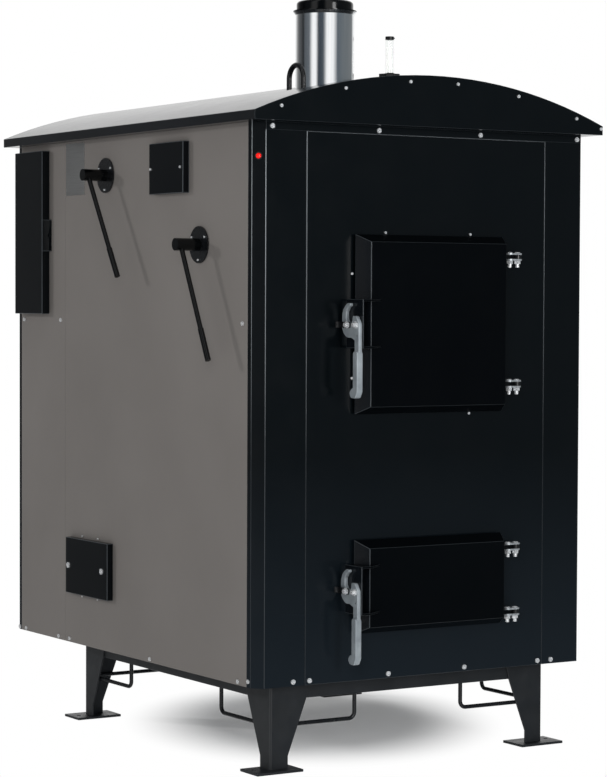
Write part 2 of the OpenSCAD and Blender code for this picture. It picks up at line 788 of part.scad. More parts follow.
module front_corner_panels() color("#0d1318") {
    difference() {
        union() {
            translate([0, 0, skirt_z]) linear_extrude(panel_h) corner_plan_left();
            intersection() {
                translate([0, 0, z_panel]) linear_extrude(header_h) corner_plan_left();
                box(-x_side, -x_side + chamfer, y_front, y_corner, z_panel, z_eave);
            }
        }
        on_front(concat(low_screws, frame_screws), y_front) screw_hole();
        on_left(side_screws) screw_hole();
        at_lamp() translate([0, 0, -5]) cylinder(r = lamp_hole_r, h = 24);
    }
    difference() {
        union() {
            translate([0, 0, skirt_z]) linear_extrude(panel_h) corner_plan_right();
            box(x_side - sheet_t, x_side, y_front + 3, y_corner - seam_gap / 2, z_panel, z_eave);
        }
        on_front(concat(low_screws, frame_screws), y_front) screw_hole();
        mirror([1, 0, 0]) on_left(side_screws) screw_hole();
    }
}

module header_strip() color("#12171c") difference() {
    union() {
        box(-x_side + chamfer, x_side, y_front, y_front + 3, z_panel, z_eave);
        box(-x_side + chamfer, x_side - sheet_t, y_front + 3, flue_y - flue_od / 2 - 3, z_eave - 3, z_eave);
    }
    on_front(header_screws, y_front) screw_hole();
}

cover_cut = [[y_corner + 370, y_corner + 552, 1751, 1873], [port_y0 - 40, port_y1 + 86, 460, 593]];

module side_panels() color("#6c6763") {
    difference() {
        side_tray(y_corner + seam_gap / 2, y_seam - seam_gap / 2, skirt_z, z_eave);
        on_left(concat(side_screws, port_screws)) screw_hole();
        for (c = cover_cut) box(-x_side - eps, -x_side + 5, c[0], c[1], c[2], c[3]);
        rod_x(-x_side - eps, -x_side + 5, bypass_y, bypass_z, 20);
        rod_x(-x_side - eps, -x_side + 5, clean_y, clean_z, 20);
    }
    mirror([1, 0, 0]) difference() {
        side_tray(y_corner + seam_gap / 2, y_seam - seam_gap / 2, skirt_z, z_eave);
        on_left(side_screws) screw_hole();
    }
}

module rear_side_panels() color("#6c6763") {
    difference() {
        side_tray(y_seam + seam_gap / 2, y_in_rear - seam_gap / 2, skirt_z, z_eave);
        on_left(side_screws) screw_hole();
        box(-x_side - eps, -x_side + 5, cb_y0, cb_y1, cb_z0, cb_z1);
    }
    mirror([1, 0, 0]) difference() {
        side_tray(y_seam + seam_gap / 2, y_in_rear - seam_gap / 2, skirt_z, z_eave);
        on_left(side_screws) screw_hole();
    }
}

// Rear opening, service door and lift-off hinges
rd_hw = 400;
rd_z0 = 500;
rd_z1 = 1700;
rd_over = 20;
rd_d = 20;
rd_hinge_x = rd_hw + rd_over + 9;
rd_hinge_y = y_rear + 12;
rd_hinges = [rd_z0 + 120, rd_z1 - 180];
knuckle_r = 7;
knuckle_h = 30;
pin_r = 4;
rd_lock_x = -rd_hw + 22;
rd_lock_z = (rd_z0 + rd_z1) / 2;

module rear_panel() color("#0f1418") {
    difference() {
        mirror([0, 1, 0]) front_tray(-x_side, x_side, skirt_z, z_eave, -y_rear, fold);
        box(-rd_hw, rd_hw, y_rear - fold, y_rear + eps, rd_z0, rd_z1);
        for (s = [0, 1]) mirror([s, 0, 0]) on_left(side_screws) screw_hole();
    }
    for (z = rd_hinges) {
        rod_z(rd_hinge_x, rd_hinge_y, z, z + knuckle_h, knuckle_r);
        rod_z(rd_hinge_x, rd_hinge_y, z + knuckle_h, z + 2 * knuckle_h - 3, pin_r);
        box(rd_hinge_x + 1, rd_hinge_x + 6, y_rear, rd_hinge_y, z, z + knuckle_h);
    }
}

module rear_door() color("#14191d") {
    x1 = rd_hw + rd_over;
    y0 = y_rear + 0.5;
    difference() {
        union() {
            difference() {
                box(-x1, x1, y0, y0 + rd_d, rd_z0 - rd_over, rd_z1 + rd_over);
                box(-x1 + sheet_t, x1 - sheet_t, y0 - eps, y0 + rd_d - sheet_t,
                    rd_z0 - rd_over + sheet_t, rd_z1 + rd_over - sheet_t);
            }
            for (z = rd_hinges) {
                rod_z(rd_hinge_x, rd_hinge_y, z + knuckle_h + 0.3, z + 2 * knuckle_h + 0.3, knuckle_r);
                box(x1 - sheet_t, rd_hinge_x, rd_hinge_y - 2, rd_hinge_y + 4, z + knuckle_h + 0.3,
                    z + 2 * knuckle_h + 0.3);
            }
        }
        for (z = rd_hinges)
            rod_z(rd_hinge_x, rd_hinge_y, z + knuckle_h, z + 2 * knuckle_h + 1, pin_r + run_gap);
        for (k = [0:7]) for (z = [rd_z0 + 60, rd_z1 - 200])
            box(-150, 150, y0, y0 + rd_d + eps, z + k * 18, z + k * 18 + 7);
        rod_y(rd_lock_x, y0, y0 + rd_d + eps, rd_lock_z, 8 + run_gap);
    }
}

module rear_door_handle() color("#1a1c1e") {
    y1 = y_rear + 0.5 + rd_d;
    rod_y(rd_lock_x, y_rear + 2, y1 + 14, rd_lock_z, 8);
    box(rd_lock_x - 9, rd_lock_x + 9, y1 + 14, y1 + 22, rd_lock_z - 45, rd_lock_z + 45);
    box(rd_lock_x - 8, rd_lock_x + 8, y_rear - 6, y_rear - 2, rd_lock_z - 6, rd_lock_z + 34);
    rod_y(rd_lock_x, y_rear - 2, y_rear + 2, rd_lock_z, 6);
}

// ---------- roof ----------

module roof_plan_holes(grow) {
    rod_z(flue_x, flue_y, z_eave, z_rim, flue_od / 2 + grow);
    rod_z(sight_x, sight_y, z_eave, z_rim, vent_r + grow);
    for (s = [-1, 1]) rod_z(hoop_x, hoop_y + s * hoop_r, z_eave, z_rim, hoop_bar / 2 + grow);
}

module roof_sheet() color("#9fa3a8") difference() {
    translate([0, y_roof_b - roof_t, 0]) rotate([90, 0, 0])
        linear_extrude(y_roof_b - y_roof_f - 2 * roof_t) {
            intersection() {
                translate([0, roof_cz]) difference() {
                    circle(roof_r, $fn = 180);
                    circle(roof_r - roof_t, $fn = 180);
                }
                translate([-roof_half, z_fascia - 2 * roof_t]) square([2 * roof_half, z_crest]);
            }
            for (s = [0, 1]) mirror([s, 0]) {
                translate([-roof_half, z_eave]) square([roof_t, fascia_h - roof_t]);
                translate([-roof_half, z_eave]) square([roof_side - 0.5, roof_t]);
            }
        }
    roof_plan_holes(1);
}

module gable_plan() {
    intersection() {
        translate([0, roof_cz]) circle(roof_r, $fn = 180);
        translate([-roof_half, z_eave]) square([2 * roof_half, z_crest]);
    }
}

module roof_gables() color("#0f151b") {
    difference() {
        union() {
            translate([0, y_roof_f + roof_t, 0]) rotate([90, 0, 0]) linear_extrude(roof_t) gable_plan();
            box(-x_side, x_side, y_roof_f + roof_t, y_front, z_eave, z_eave + roof_t);
        }
        on_front(gable_screws, y_roof_f) screw_hole();
    }
    difference() {
        union() {
            translate([0, y_roof_b, 0]) rotate([90, 0, 0]) linear_extrude(roof_t) gable_plan();
            box(-x_side, x_side, y_rear, y_roof_b - roof_t, z_eave, z_eave + roof_t);
        }
        on_rear(gable_screws, y_roof_b) screw_hole();
    }
}

rim_flare = 7.2;
rim_h = 9;

module chimney() color("#b9bcbf") translate([flue_x, flue_y, 0]) difference() {
    union() {
        translate([0, 0, z_duct_top]) cylinder(r = flue_od / 2, h = z_rim - z_duct_top);
        translate([0, 0, z_rim - rim_h])
            cylinder(r1 = flue_od / 2, r2 = flue_od / 2 + rim_flare, h = rim_h, $fn = 64);
    }
    translate([0, 0, z_duct_top - eps]) cylinder(r = flue_id / 2, h = z_rim - z_duct_top + 2 * eps);
}

plug_r = 85.5;
plug_h = 32;
plug_round = 10;
lip_h = 3.5;

module chimney_plug() color("#121416") translate([flue_x, flue_y, z_rim + 0.3]) {
    translate([0, 0, -30]) cylinder(r = flue_id / 2 - 1, h = 30);
    rotate_extrude() {
        square([flue_od / 2 + rim_flare, lip_h]);
        square([plug_r, plug_h - plug_round]);
        square([plug_r - plug_round, plug_h]);
        intersection() {
            translate([plug_r - plug_round, plug_h - plug_round]) circle(plug_round);
            square([plug_r, plug_h]);
        }
    }
}

module lifting_hoop() color("#15171a") {
    r = hoop_bar / 2;
    z_arc = roof_z(hoop_x) + hoop_top - r - hoop_r;
    for (s = [-1, 1]) {
        rod_z(hoop_x, hoop_y + s * hoop_r, z_jacket_top, z_arc, r);
        translate([hoop_x - 9, hoop_y + s * (hoop_r + 14) - 8, z_jacket_top]) cube([18, 16, 60]);
    }
    translate([hoop_x, hoop_y, z_arc]) rotate([90, 0, 90])
        rotate_extrude(angle = 180) translate([hoop_r, 0]) circle(r);
}

module sight_tube() color("#dfe6e8", 0.4) translate([sight_x, sight_y, z_sight]) difference() {
    cylinder(r = sight_r, h = sight_len);
    translate([0, 0, -eps]) cylinder(r = sight_r - 3, h = sight_len + 2 * eps);
}

module sight_tube_fitting() color("#101214") translate([sight_x, sight_y, 0]) {
    collar = 5;
    cap_h = 10;
    difference() {
        union() {
            translate([0, 0, z_jacket_top]) cylinder(r = vent_r, h = z_sight + collar - z_jacket_top);
            for (a = [0:120:240]) rotate([0, 0, a])
                translate([vent_r - 3, -wing_w / 2, z_sight - 6]) cube([wing_len, wing_w, 11]);
        }
        translate([0, 0, z_jacket_top - eps]) cylinder(r = vent_r - 4, h = z_sight - z_jacket_top - 2);
        translate([0, 0, z_sight - 4]) cylinder(r = gauge_r + run_gap, h = 5);
        translate([0, 0, z_sight]) cylinder(r = sight_r + run_gap, h = collar + eps);
    }
    translate([0, 0, z_sight + sight_len]) cylinder(r = sight_r, h = cap_h);
    translate([sight_r - 2, -3, z_sight + sight_len + 4]) cube([6, 6, 4]);
}

module float_rod() color("#d8dadb") translate([sight_x, sight_y, 0]) {
    z_float = z_box_top + box_t + float_drop + 4;
    translate([0, 0, z_float]) cylinder(r = float_r, h = 60);
    translate([0, 0, z_float + 60]) cylinder(r = float_wire_r, h = z_sight - z_float - 60);
    translate([0, 0, z_sight - float_drop - 5]) cylinder(r = gauge_r, h = gauge_top + float_drop + 5);
}

// ---------- side fittings ----------

module cover_shell(y0, y1, z0, z1, d) {
    difference() {
        box(-x_side - d, -x_side, y0, y1, z0, z1);
        box(-x_side - d + 2, -x_side + eps, y0 + 2, y1 - 2, z0 + 2, z1 - 2);
    }
}

// Covers as [y0, y1, z0, z1, depth, screws' distances from both ends]
upper_cover = [y_corner + 353, y_corner + 567, 1733, 1891, 22, 15, 10];
lower_cover = [port_y0 - 66, port_y1 + 112, 434, 619, 21, 38, 21];

module service_covers() color("#15181b") difference() {
    for (c = [upper_cover, lower_cover]) cover_shell(c[0], c[1], c[2], c[3], c[4]);
    for (c = [upper_cover, lower_cover]) cover_screws(c) screw_hole();
}

// Two face screws on each cover, halfway up
module cover_screws(c) {
    for (y = [c[0] + c[5], c[1] - c[6]])
        translate([-x_side - c[4], y, (c[2] + c[3]) / 2]) rotate([0, 90, 0]) children();
}

module control_box() color("#1c2024") {
    t = 1.5;
    difference() {
        box(-x_side + sheet_t, -x_side + cb_depth, cb_y0 - t, cb_y1 + t, cb_z0 - t, cb_z1 + t);
        box(-x_side, -x_side + cb_depth - t, cb_y0, cb_y1, cb_z0, cb_z1);
    }
    for (z = [cb_cover_z0 + 60, cb_cover_z1 - 110]) {
        rod_z(cb_hinge_x, cb_hinge_y, z, z + 25, 5);
        rod_z(cb_hinge_x, cb_hinge_y, z + 25, z + 47, 3);
        box(cb_hinge_x + 2, -x_side, cb_hinge_y - 3, cb_hinge_y + 5, z, z + 25);
    }
}

module control_box_door() color("#111417") {
    y0 = cb_cover_y0;
    y1 = cb_cover_y1;
    x0 = -x_side - cb_cover_d;
    x1 = -x_side - 0.5;
    difference() {
        union() {
            difference() {
                box(x0, x1, y0, y1, cb_cover_z0, cb_cover_z1);
                box(x0 + 2, x1 + eps, y0 + 2, y1 - 2, cb_cover_z0 + 2, cb_cover_z1 - 2);
            }
            box(x1 - 3, x1, y0 - hasp_reach, y0 + 2, hasp_z0, hasp_z1);
            box(x0 + 2, x1, y0 - 4, y0 + 2, hasp_z0, hasp_z1);
            for (z = [cb_cover_z0 + 60, cb_cover_z1 - 110]) {
                rod_z(cb_hinge_x, cb_hinge_y, z + 25.3, z + 50, 5);
                box(cb_hinge_x - 4, cb_hinge_x, y1 - 2, cb_hinge_y, z + 25.3, z + 50);
            }
        }
        for (z = [cb_cover_z0 + 60, cb_cover_z1 - 110])
            rod_z(cb_hinge_x, cb_hinge_y, z + 25, z + 51, 3 + run_gap);
    }
    translate([x1 - 3, y0 - 10.5, (hasp_z0 + hasp_z1) / 2]) rotate([0, -90, 0]) cylinder(r = 6, h = 5);
}

// Controller: case with a display window, a setting knob and a rocker switch
ctl_x = -x_side + cb_depth - 1.5 - 55;
ctl_cy = (cb_y0 + cb_y1) / 2;
ctl_cz = (cb_z0 + cb_z1) / 2 + 60;
knob_z = ctl_cz - 45;
switch_z = ctl_cz - 100;

module controller() color("#b8bcc0") difference() {
    box(ctl_x, ctl_x + 55, ctl_cy - 55, ctl_cy + 55, ctl_cz - 130, ctl_cz + 90);
    box(ctl_x - eps, ctl_x + 2, ctl_cy - 35, ctl_cy + 35, ctl_cz + 20, ctl_cz + 65);
    rod_x(ctl_x - eps, ctl_x + 12, ctl_cy, knob_z, 4 + run_gap);
    box(ctl_x - eps, ctl_x + 14, ctl_cy - 15.5, ctl_cy + 15.5, switch_z - 12, switch_z + 12);
}

module controller_knob() color("#202225") {
    rod_x(ctl_x - 16, ctl_x - 0.5, ctl_cy, knob_z, 17);
    rod_x(ctl_x - 0.5, ctl_x + 10, ctl_cy, knob_z, 4);
    box(ctl_x - 18, ctl_x - 16, ctl_cy - 1.5, ctl_cy + 1.5, knob_z, knob_z + 16);
}

module power_switch() color("#b02020") translate([ctl_x + 6, ctl_cy, switch_z])
    rotate([90, 0, 0]) translate([0, 0, -15]) linear_extrude(30)
        polygon([[-9, 9], [-6, -9], [3, -9], [3, 9]]);

module data_plate() color("#c2c5c8")
    box(-x_side - 0.8, -x_side, y_seam - 141, y_seam - 7, 1751, 1922);

module indicator_lamp() color("#c01818") at_lamp() {
    translate([0, 0, -4]) cylinder(r = lamp_r, h = 4);
    cylinder(r = 6, h = 14);
    translate([0, 0, -4]) intersection() {
        sphere(r = 8);
        translate([0, 0, -8]) cylinder(r = 8, h = 8);
    }
}

// ---------- doors ----------

// Block with sloped edges: back outline w by h at y_back, face smaller by the bevel
module bevel_block(w, h, bevel, y_back, d) {
    intersection() {
        translate([0, 0, -h / 2]) linear_extrude(h) polygon([[-w / 2, y_back], [w / 2, y_back],
            [w / 2 - bevel, y_back - d], [-w / 2 + bevel, y_back - d]]);
        rotate([90, 0, 90]) translate([0, 0, -w / 2]) linear_extrude(w) polygon([[y_back, -h / 2],
            [y_back, h / 2], [y_back - d, h / 2 - bevel], [y_back - d, -h / 2 + bevel]]);
    }
}

module link_plan(len, r) {
    circle(r);
    translate([len, 0]) circle(r);
    translate([0, -r]) square([len, 2 * r]);
}

// Door shell with its hinge lugs and latch bracket welded on
module door_shell(cz, h, hinges, pivot_z) {
    y_face = y_door - door_d;
    x_latch = latch_x + 0.5;
    difference() {
        union() {
            translate([door_cx, 0, cz]) difference() {
                bevel_block(door_w, h, door_bevel, y_door, door_d);
                translate([0, door_t, 0])
                    bevel_block(door_w - 2 * door_t, h - 2 * door_t, door_bevel, y_door, door_d);
            }
            for (z = hinges) translate([door_bolt_x, hinge_y, z - link_t - lug_gap - lug_t]) {
                cylinder(r = lug_end_r, h = lug_t);
                translate([-30, -lug_end_r, 0]) cube([30, 2 * lug_end_r, lug_t]);
            }
            for (z = [pivot_z + bracket_up - plate_t, pivot_z - bracket_down])
                translate([0, 0, z]) linear_extrude(plate_t) bracket_plan(x_latch);
            box(x_latch, x_latch + plate_t, latch_y - 15, y_door - 3, pivot_z - bracket_down,
                pivot_z + bracket_up);
        }
        translate([door_cx, 0, cz]) translate([0, door_t, 0])
            bevel_block(door_w - 2 * door_t, h - 2 * door_t, door_bevel, y_door, door_d);
        for (z = hinges) rod_z(door_bolt_x, hinge_y, z - 40, z, bolt_r + run_gap);
        rod_x(x_latch - eps, x_latch + plate_t + eps, latch_y, pivot_z, bolt_r + run_gap);
    }
}

// Plan of the latch bracket: wraps the door's left edge and stands out past its face
module bracket_plan(x_latch) {
    left = door_cx - door_w / 2;
    face = y_door - door_d;
    polygon([[x_latch, y_door - 3], [left + 4, y_door - 3], [left + door_bevel + 1, face + 1],
        [left + door_bevel + 34, face + 1], [left + door_bevel + 34, face - 4],
        [x_latch + 36, latch_y - 15], [x_latch, latch_y - 15]]);
}

// Insulating plug: fills the shell and steps into the throat
module door_plug(cz, h, throat_h) {
    slope = door_bevel / door_d;
    inset = 2 * door_t * (1 + slope);
    translate([door_cx, 0, cz])
        bevel_block(door_w - inset, h - inset, slope * (door_d - door_t), y_door, door_d - door_t);
    box(door_cx - throat_w / 2 + plug_gap, door_cx + throat_w / 2 - plug_gap, y_door, y_door + 41,
        cz - throat_h / 2 + plug_gap, cz + throat_h / 2 - plug_gap);
}

// Rope seal round the throat's front edge
module door_seal(cz, throat_h) {
    gap = 0.3;
    seal_w = 7;
    w = throat_w + 2 * throat_t + 2 * seal_w / 2;
    h = throat_h + 2 * throat_t + 2 * seal_w / 2;
    difference() {
        box(door_cx - w / 2, door_cx + w / 2, y_door, y_throat - gap, cz - h / 2, cz + h / 2);
        box(door_cx - w / 2 + 2 * seal_w, door_cx + w / 2 - 2 * seal_w, y_door - eps, y_throat,
            cz - h / 2 + 2 * seal_w, cz + h / 2 - 2 * seal_w);
    }
}

// Hinge bolt hanging from its low round head, nut below the lower link
module hinge_bolt(z_top) {
    head = 3;
    drop = 44;
    cylinder_z = z_top - 2 * link_t - 2 * lug_gap - lug_t;
    translate([0, 0, z_top + lug_gap]) cylinder(r1 = 10, r2 = 7, h = head, $fn = 48);
    translate([0, 0, z_top - drop]) cylinder(r = bolt_r, h = drop + lug_gap);
    translate([0, 0, cylinder_z - lug_gap - nut_t]) difference() {
        cylinder(r = 10.5, h = nut_t, $fn = 6);
        translate([0, 0, -eps]) cylinder(r = bolt_r - 0.5, h = nut_t + 2 * eps);
    }
}

// Latch pivot bolt along X, nut on the outside
module latch_bolt(z) {
    x_head = latch_x + 0.5 + plate_t;
    x_out = latch_x - latch_t;
    rod_x(x_out - 15, x_head, latch_y, z, bolt_r);
    translate([x_head, latch_y, z]) rotate([0, 90, 0]) cylinder(r = 7.5, h = 3);
    translate([x_out - 0.2 - 7, latch_y, z]) rotate([0, 90, 0]) difference() {
        cylinder(r = 10.5, h = 7, $fn = 6);
        translate([0, 0, -eps]) cylinder(r = bolt_r - 0.5, h = 7 + 2 * eps);
    }
}

module door_links(hinges) {
    for (z = hinges) for (drop = [link_t, 2 * link_t + lug_t + 2 * lug_gap])
        translate([door_bolt_x, hinge_y, z - drop]) linear_extrude(link_t) difference() {
            link_plan(link_len, 14);
            circle(bolt_r + run_gap);
            translate([link_len, 0]) circle(bolt_r + run_gap);
        }
}

// Latch outline in the Y-Z plane about its pivot: cam disc, hook arm, lobe and shank
module latch_outline() {
    difference() {
        union() {
            translate([40, 1]) circle(39, $fn = 96);
            polygon([[58, 0], [79, 1], [79, 32], [73, 47], [62, 58], [50, 64.5], [38, 64.5], [35, 60],
                [38, 55], [47, 52], [55, 43], [59, 30]]);
            polygon([[-12, -84], [-12, 4], [3, 25.5], [18, 25.5], [24, 12], [40, -10], [30, -38],
                [12, -46], [12, -84]]);
        }
        translate([catch_dy, 0]) circle(7.5);
        polygon([[30.5, 0], [45.5, 0], [57, 18], [58, 41], [-12, 41], [-12, 26.5], [22, 26.5], [24, 12]]);
        translate([-2, -32]) circle(3);
        circle(bolt_r + run_gap);
    }
}

module latch(z) {
    grip_w = 21;
    translate([latch_x, latch_y, z]) rotate([90, 0, 90]) {
        translate([0, 0, -latch_t]) linear_extrude(latch_t) latch_outline();
        translate([0, 0, -latch_t / 2 - grip_w / 2]) linear_extrude(grip_w)
            polygon([[14, -84], [14, -186], [24, -190], [31, -198], [31, -207], [24, -216],
                [8, -217.5], [0, -215], [-10, -198], [-10, -84], [-6, -78], [9, -78]]);
    }
}

// The -Y direction of the outline's own X axis: the hook lies towards the cabinet
module loading_latch() color("#8a9095") latch(latch_z);
module ash_latch() color("#8a9095") latch(ash_latch_z);

module loading_door() color("#0d1318") door_shell(load_cz, load_h, load_hinges, latch_z);
module loading_door_plug() color("#cfc6b6") door_plug(load_cz, load_h, load_throat_h);
module loading_door_seal() color("#e4e0d6") door_seal(load_cz, load_throat_h);
module loading_links() color("#6f757a") door_links(load_hinges);
module loading_door_hardware() color("#d5d9dc") {
    for (z = load_hinges) translate([door_bolt_x, hinge_y, 0]) hinge_bolt(z);
    latch_bolt(latch_z);
}

module ash_door() color("#0d1318") door_shell(ash_cz, ash_h, ash_hinges, ash_latch_z);
module ash_door_plug() color("#cfc6b6") door_plug(ash_cz, ash_h, ash_throat_h);
module ash_door_seal() color("#e4e0d6") door_seal(ash_cz, ash_throat_h);
module ash_links() color("#6f757a") door_links(ash_hinges);
module ash_door_hardware() color("#d5d9dc") {
    for (z = ash_hinges) translate([door_bolt_x, hinge_y, 0]) hinge_bolt(z);
    latch_bolt(ash_latch_z);
}

// Cabinet side of the hinges and latches: lugs and catch plates
catch_x = latch_x - latch_t - catch_clear;
module door_mounts() color("#15191d") {
    for (z = concat(load_hinges, ash_hinges))
        translate([frame_bolt_x, hinge_y, z - link_t - lug_gap - lug_t]) difference() {
            union() {
                cylinder(r = lug_end_r, h = lug_t);
                translate([-lug_end_r, 0, 0]) cube([2 * lug_end_r, y_front - hinge_y, lug_t]);
            }
            translate([0, 0, -eps]) cylinder(r = bolt_r + run_gap, h = lug_t + 2 * eps);
        }
    for (z = [latch_z, ash_latch_z]) difference() {
        union() {
            box(catch_x - 4, catch_x, latch_y + catch_dy - 9, y_front, z - 9, z + 9);
            box(catch_x - 14, catch_x, y_front - 4, y_front, z - 9, z + 9);
        }
        rod_x(catch_x - 5, catch_x + 1, latch_y + catch_dy, z, bolt_r + 0.2);
    }
}

// Fixed bolts and every panel screw
module fasteners() color("#d5d9dc") {
    for (z = concat(load_hinges, ash_hinges)) translate([frame_bolt_x, hinge_y, 0]) hinge_bolt(z);
    for (z = [latch_z, ash_latch_z]) {
        rod_x(catch_x - 16, catch_x + 1.5, latch_y + catch_dy, z, bolt_r);
        translate([catch_x - 11, latch_y + catch_dy, z]) rotate([0, 90, 0]) difference() {
            cylinder(r = 10.5, h = 7, $fn = 6);
            translate([0, 0, -eps]) cylinder(r = bolt_r - 0.5, h = 7 + 2 * eps);
        }
    }
    on_front(frame_screws, y_front) screw(frame_head_r);
    on_front(concat(low_screws, header_screws), y_front) screw(wide_head_r);
    on_front(gable_screws, y_roof_f) screw();
    on_rear(gable_screws, y_roof_b) screw();
    both_sides() on_left(side_screws) screw(side_head_r);
    on_left(port_screws) screw(port_head_r);
    cover_screws(upper_cover) screw(frame_head_r);
    cover_screws(lower_cover) screw(cover_head_r);
    for (p = [[bypass_y, bypass_z], [clean_y, clean_z]]) at_flange_holes(p)
        translate([0, 0, -3]) cylinder(r = flange_head_r, h = 3);
}

// ---------- levers ----------

module at_flange_holes(p) {
    for (a = [30, 150, 270])
        translate([-x_side - 5, p[0] + 46 * cos(a), p[1] + 46 * sin(a)]) rotate([0, 90, 0]) children();
}

module lever_flanges() color("#17191c") for (p = [[bypass_y, bypass_z], [clean_y, clean_z]])
    difference() {
        union() {
            rod_x(-x_side - 5, -x_side, p[0], p[1], flange_d / 2);
            rod_x(-x_side, -x_side + 20, p[0], p[1], 18);
        }
        rod_x(-x_side - 6, -x_side + 21, p[0], p[1], shaft_d / 2 + run_gap);
    }

// Hub, rod and grip outside the cabinet
grip_len = 104;
module lever_handle(lean) {
    hub_r = 19;
    hub_x0 = -x_side - 86;
    rod_x(hub_x0, -x_side - 5.5, 0, 0, hub_r);
    translate([-x_side - 66, 0, 0]) rotate([-lean, 0, 0]) {
        translate([0, 0, -rod_len]) cylinder(r = 7.5, h = rod_len);
        translate([0, 0, -rod_len]) cylinder(r = 9, h = grip_len);
    }
}

module bypass_lever() color("#101214") translate([0, bypass_y, bypass_z]) {
    lever_handle(bypass_lean);
    rod_x(-x_side - 20, neck_x + neck_w / 2 + 8, 0, 0, shaft_d / 2);
    z_plate = z_box_top - 0.3 - bypass_z;
    box(neck_x - neck_w / 2 - 6, neck_x + neck_w / 2 + 6, -neck_d - 29, 0, z_plate - flap_t, z_plate);
    for (x = [neck_x - 40, neck_x + 40])
        box(x - 5, x + 5, -neck_d + 20, 6, 8, z_plate - flap_t);
}

module cleaner_lever() color("#101214") translate([0, clean_y, clean_z]) {
    lever_handle(cleaner_lean);
    rod_x(-x_side - 20, head_x1 + 9, 0, 0, shaft_d / 2);
    for (s = [-1, 1]) rotate([-crank_dip, 0, 0]) {
        translate([s * (lug_x + 13) - 3, 0, -9]) cube([6, crank_r, 18]);
        rod_x(s * (lug_x + 13) - 3, s * (lug_x + 13) + 3, crank_r, 0, 9);
    }
    rotate([-crank_dip, 0, 0]) rod_x(-lug_x - 13, lug_x + 13, crank_r, 0, crank_pin);
}

// Twisted strips on a common hanger, lifted by the crank pin in its two slotted lugs
module turbulators() color("#7b7f82") {
    pin_y = clean_y + crank_r * cos(crank_dip);
    pin_z = clean_z - crank_r * sin(crank_dip);
    strip_w = tube_od - 2 * tube_wall - 11;
    strip_z = z_low_top + 14;
    box(tube_xs[0] - 30, tube_xs[tube_n - 1] + 30, tube_y - 6, tube_y + 6, hang_z, hang_z + 12);
    for (x = tube_xs) translate([x, tube_y, strip_z])
        linear_extrude(hang_z - strip_z, twist = 540, slices = 24, $fn = 8)
            square([strip_w, 3], center = true);
    for (s = [-1, 1]) difference() {
        box(s * lug_x - 3, s * lug_x + 3, pin_y - 13, pin_y + 26, hang_z + 12, pin_z + 16);
        box(s * lug_x - 4, s * lug_x + 4, pin_y - 7, pin_y + 20, pin_z - crank_pin - 1.6,
            pin_z + crank_pin + 0.3);
    }
}

// ---------- rear bay ----------

module blower_housing() color("#202428") {
    t = 2;
    difference() {
        union() {
            box(fan_x - 90, fan_x + 90, y_jacket_r, y_fan, fan_z - 90, fan_z + 90);
            rod_y(fan_x, y_fan, y_fan + fan_d, fan_z, fan_r);
        }
        box(fan_x - 90 + t, fan_x + 90 - t, y_jacket_r - eps, y_fan - t, fan_z - 90 + t, fan_z + 90 - t);
        rod_y(fan_x, y_fan + t, y_fan + fan_d - t, fan_z, fan_r - t);
        rod_y(fan_x, y_fan - 2 * t, y_fan + 2 * t, fan_z, 60);
        rod_y(fan_x, y_fan + fan_d - 2 * t, y_fan + fan_d + eps, fan_z, 55);
    }
    y_m = y_fan + fan_d + 20;
    difference() {
        union() {
            rod_y(fan_x, y_m, y_m + 90, fan_z, 42);
            for (a = [90, 210, 330]) translate([fan_x, 0, fan_z]) rotate([0, a, 0]) {
                box(30, 82, y_m - 2, y_m + 4, -9, 9);
                rod_y(74, y_fan + fan_d, y_m - 2, 0, 6);
            }
        }
        rod_y(fan_x, y_m - 5, y_m + 40, fan_z, 5 + run_gap);
    }
}

module blower_wheel() color("#9aa0a5") translate([fan_x, 0, fan_z]) {
    y0 = y_fan + 12;
    y1 = y_fan + fan_d - 12;
    rod_y(0, y0, y_fan + fan_d + 55, 0, 5);
    rod_y(0, y0, y0 + 20, 0, 12);
    rod_y(0, y0, y0 + 2, 0, 88);
    for (a = [0:30:330]) rotate([0, a, 0]) translate([62, y0 + 2, 0]) rotate([0, 35, 0])
        translate([0, 0, -1]) cube([24, y1 - y0 - 2, 2]);
}

gate_y = y_jacket_r + 16;
gate_z = fan_z + 52;
module air_gate() color("#a8adb1") {
    difference() {
        box(fan_x - 44, fan_x + 44, gate_y - 4, gate_y - 1, gate_z - 98, gate_z);
        rod_x(fan_x - 50, fan_x + 50, gate_y, gate_z, 4);
    }
    rod_x(fan_x - 87.5, fan_x + 87.5, gate_y, gate_z, 4);
}

// Out of the jacket, round a bend and down through the floor pan
module pipe_run(x, z, r, over) {
    rod_y(x, y_jacket_r - over, pipe_y - pipe_bend, z, r);
    rod_z(x, pipe_y, pipe_end_z - over, z - pipe_bend, r);
    translate([x, pipe_y - pipe_bend, z - pipe_bend]) rotate([90, 0, 90])
        rotate_extrude(angle = 90) translate([pipe_bend, 0]) circle(r);
}

module pipework() color("#a87a3c") {
    for (p = [[supply_x, supply_z], [return_x, return_z]]) difference() {
        pipe_run(p[0], p[1], pipe_r, 0);
        pipe_run(p[0], p[1], pipe_bore, eps);
    }
    difference() {
        union() {
            pipe_run(drain_x, drain_z, pipe_r, 0);
            translate([drain_x, valve_y, drain_z]) sphere(r = valve_r);
            rod_z(drain_x, valve_y, drain_z, drain_z + 40, 10);
        }
        pipe_run(drain_x, drain_z, pipe_bore, eps);
        rod_z(drain_x, valve_y, drain_z + 25, drain_z + 41, 5 + run_gap);
    }
}

module drain_handle() color("#b02020") translate([drain_x, valve_y, drain_z + 40.3]) {
    translate([0, 0, -12]) cylinder(r = 5, h = 14);
    translate([-10, -12, 0]) cube([20, 130, 4]);
}

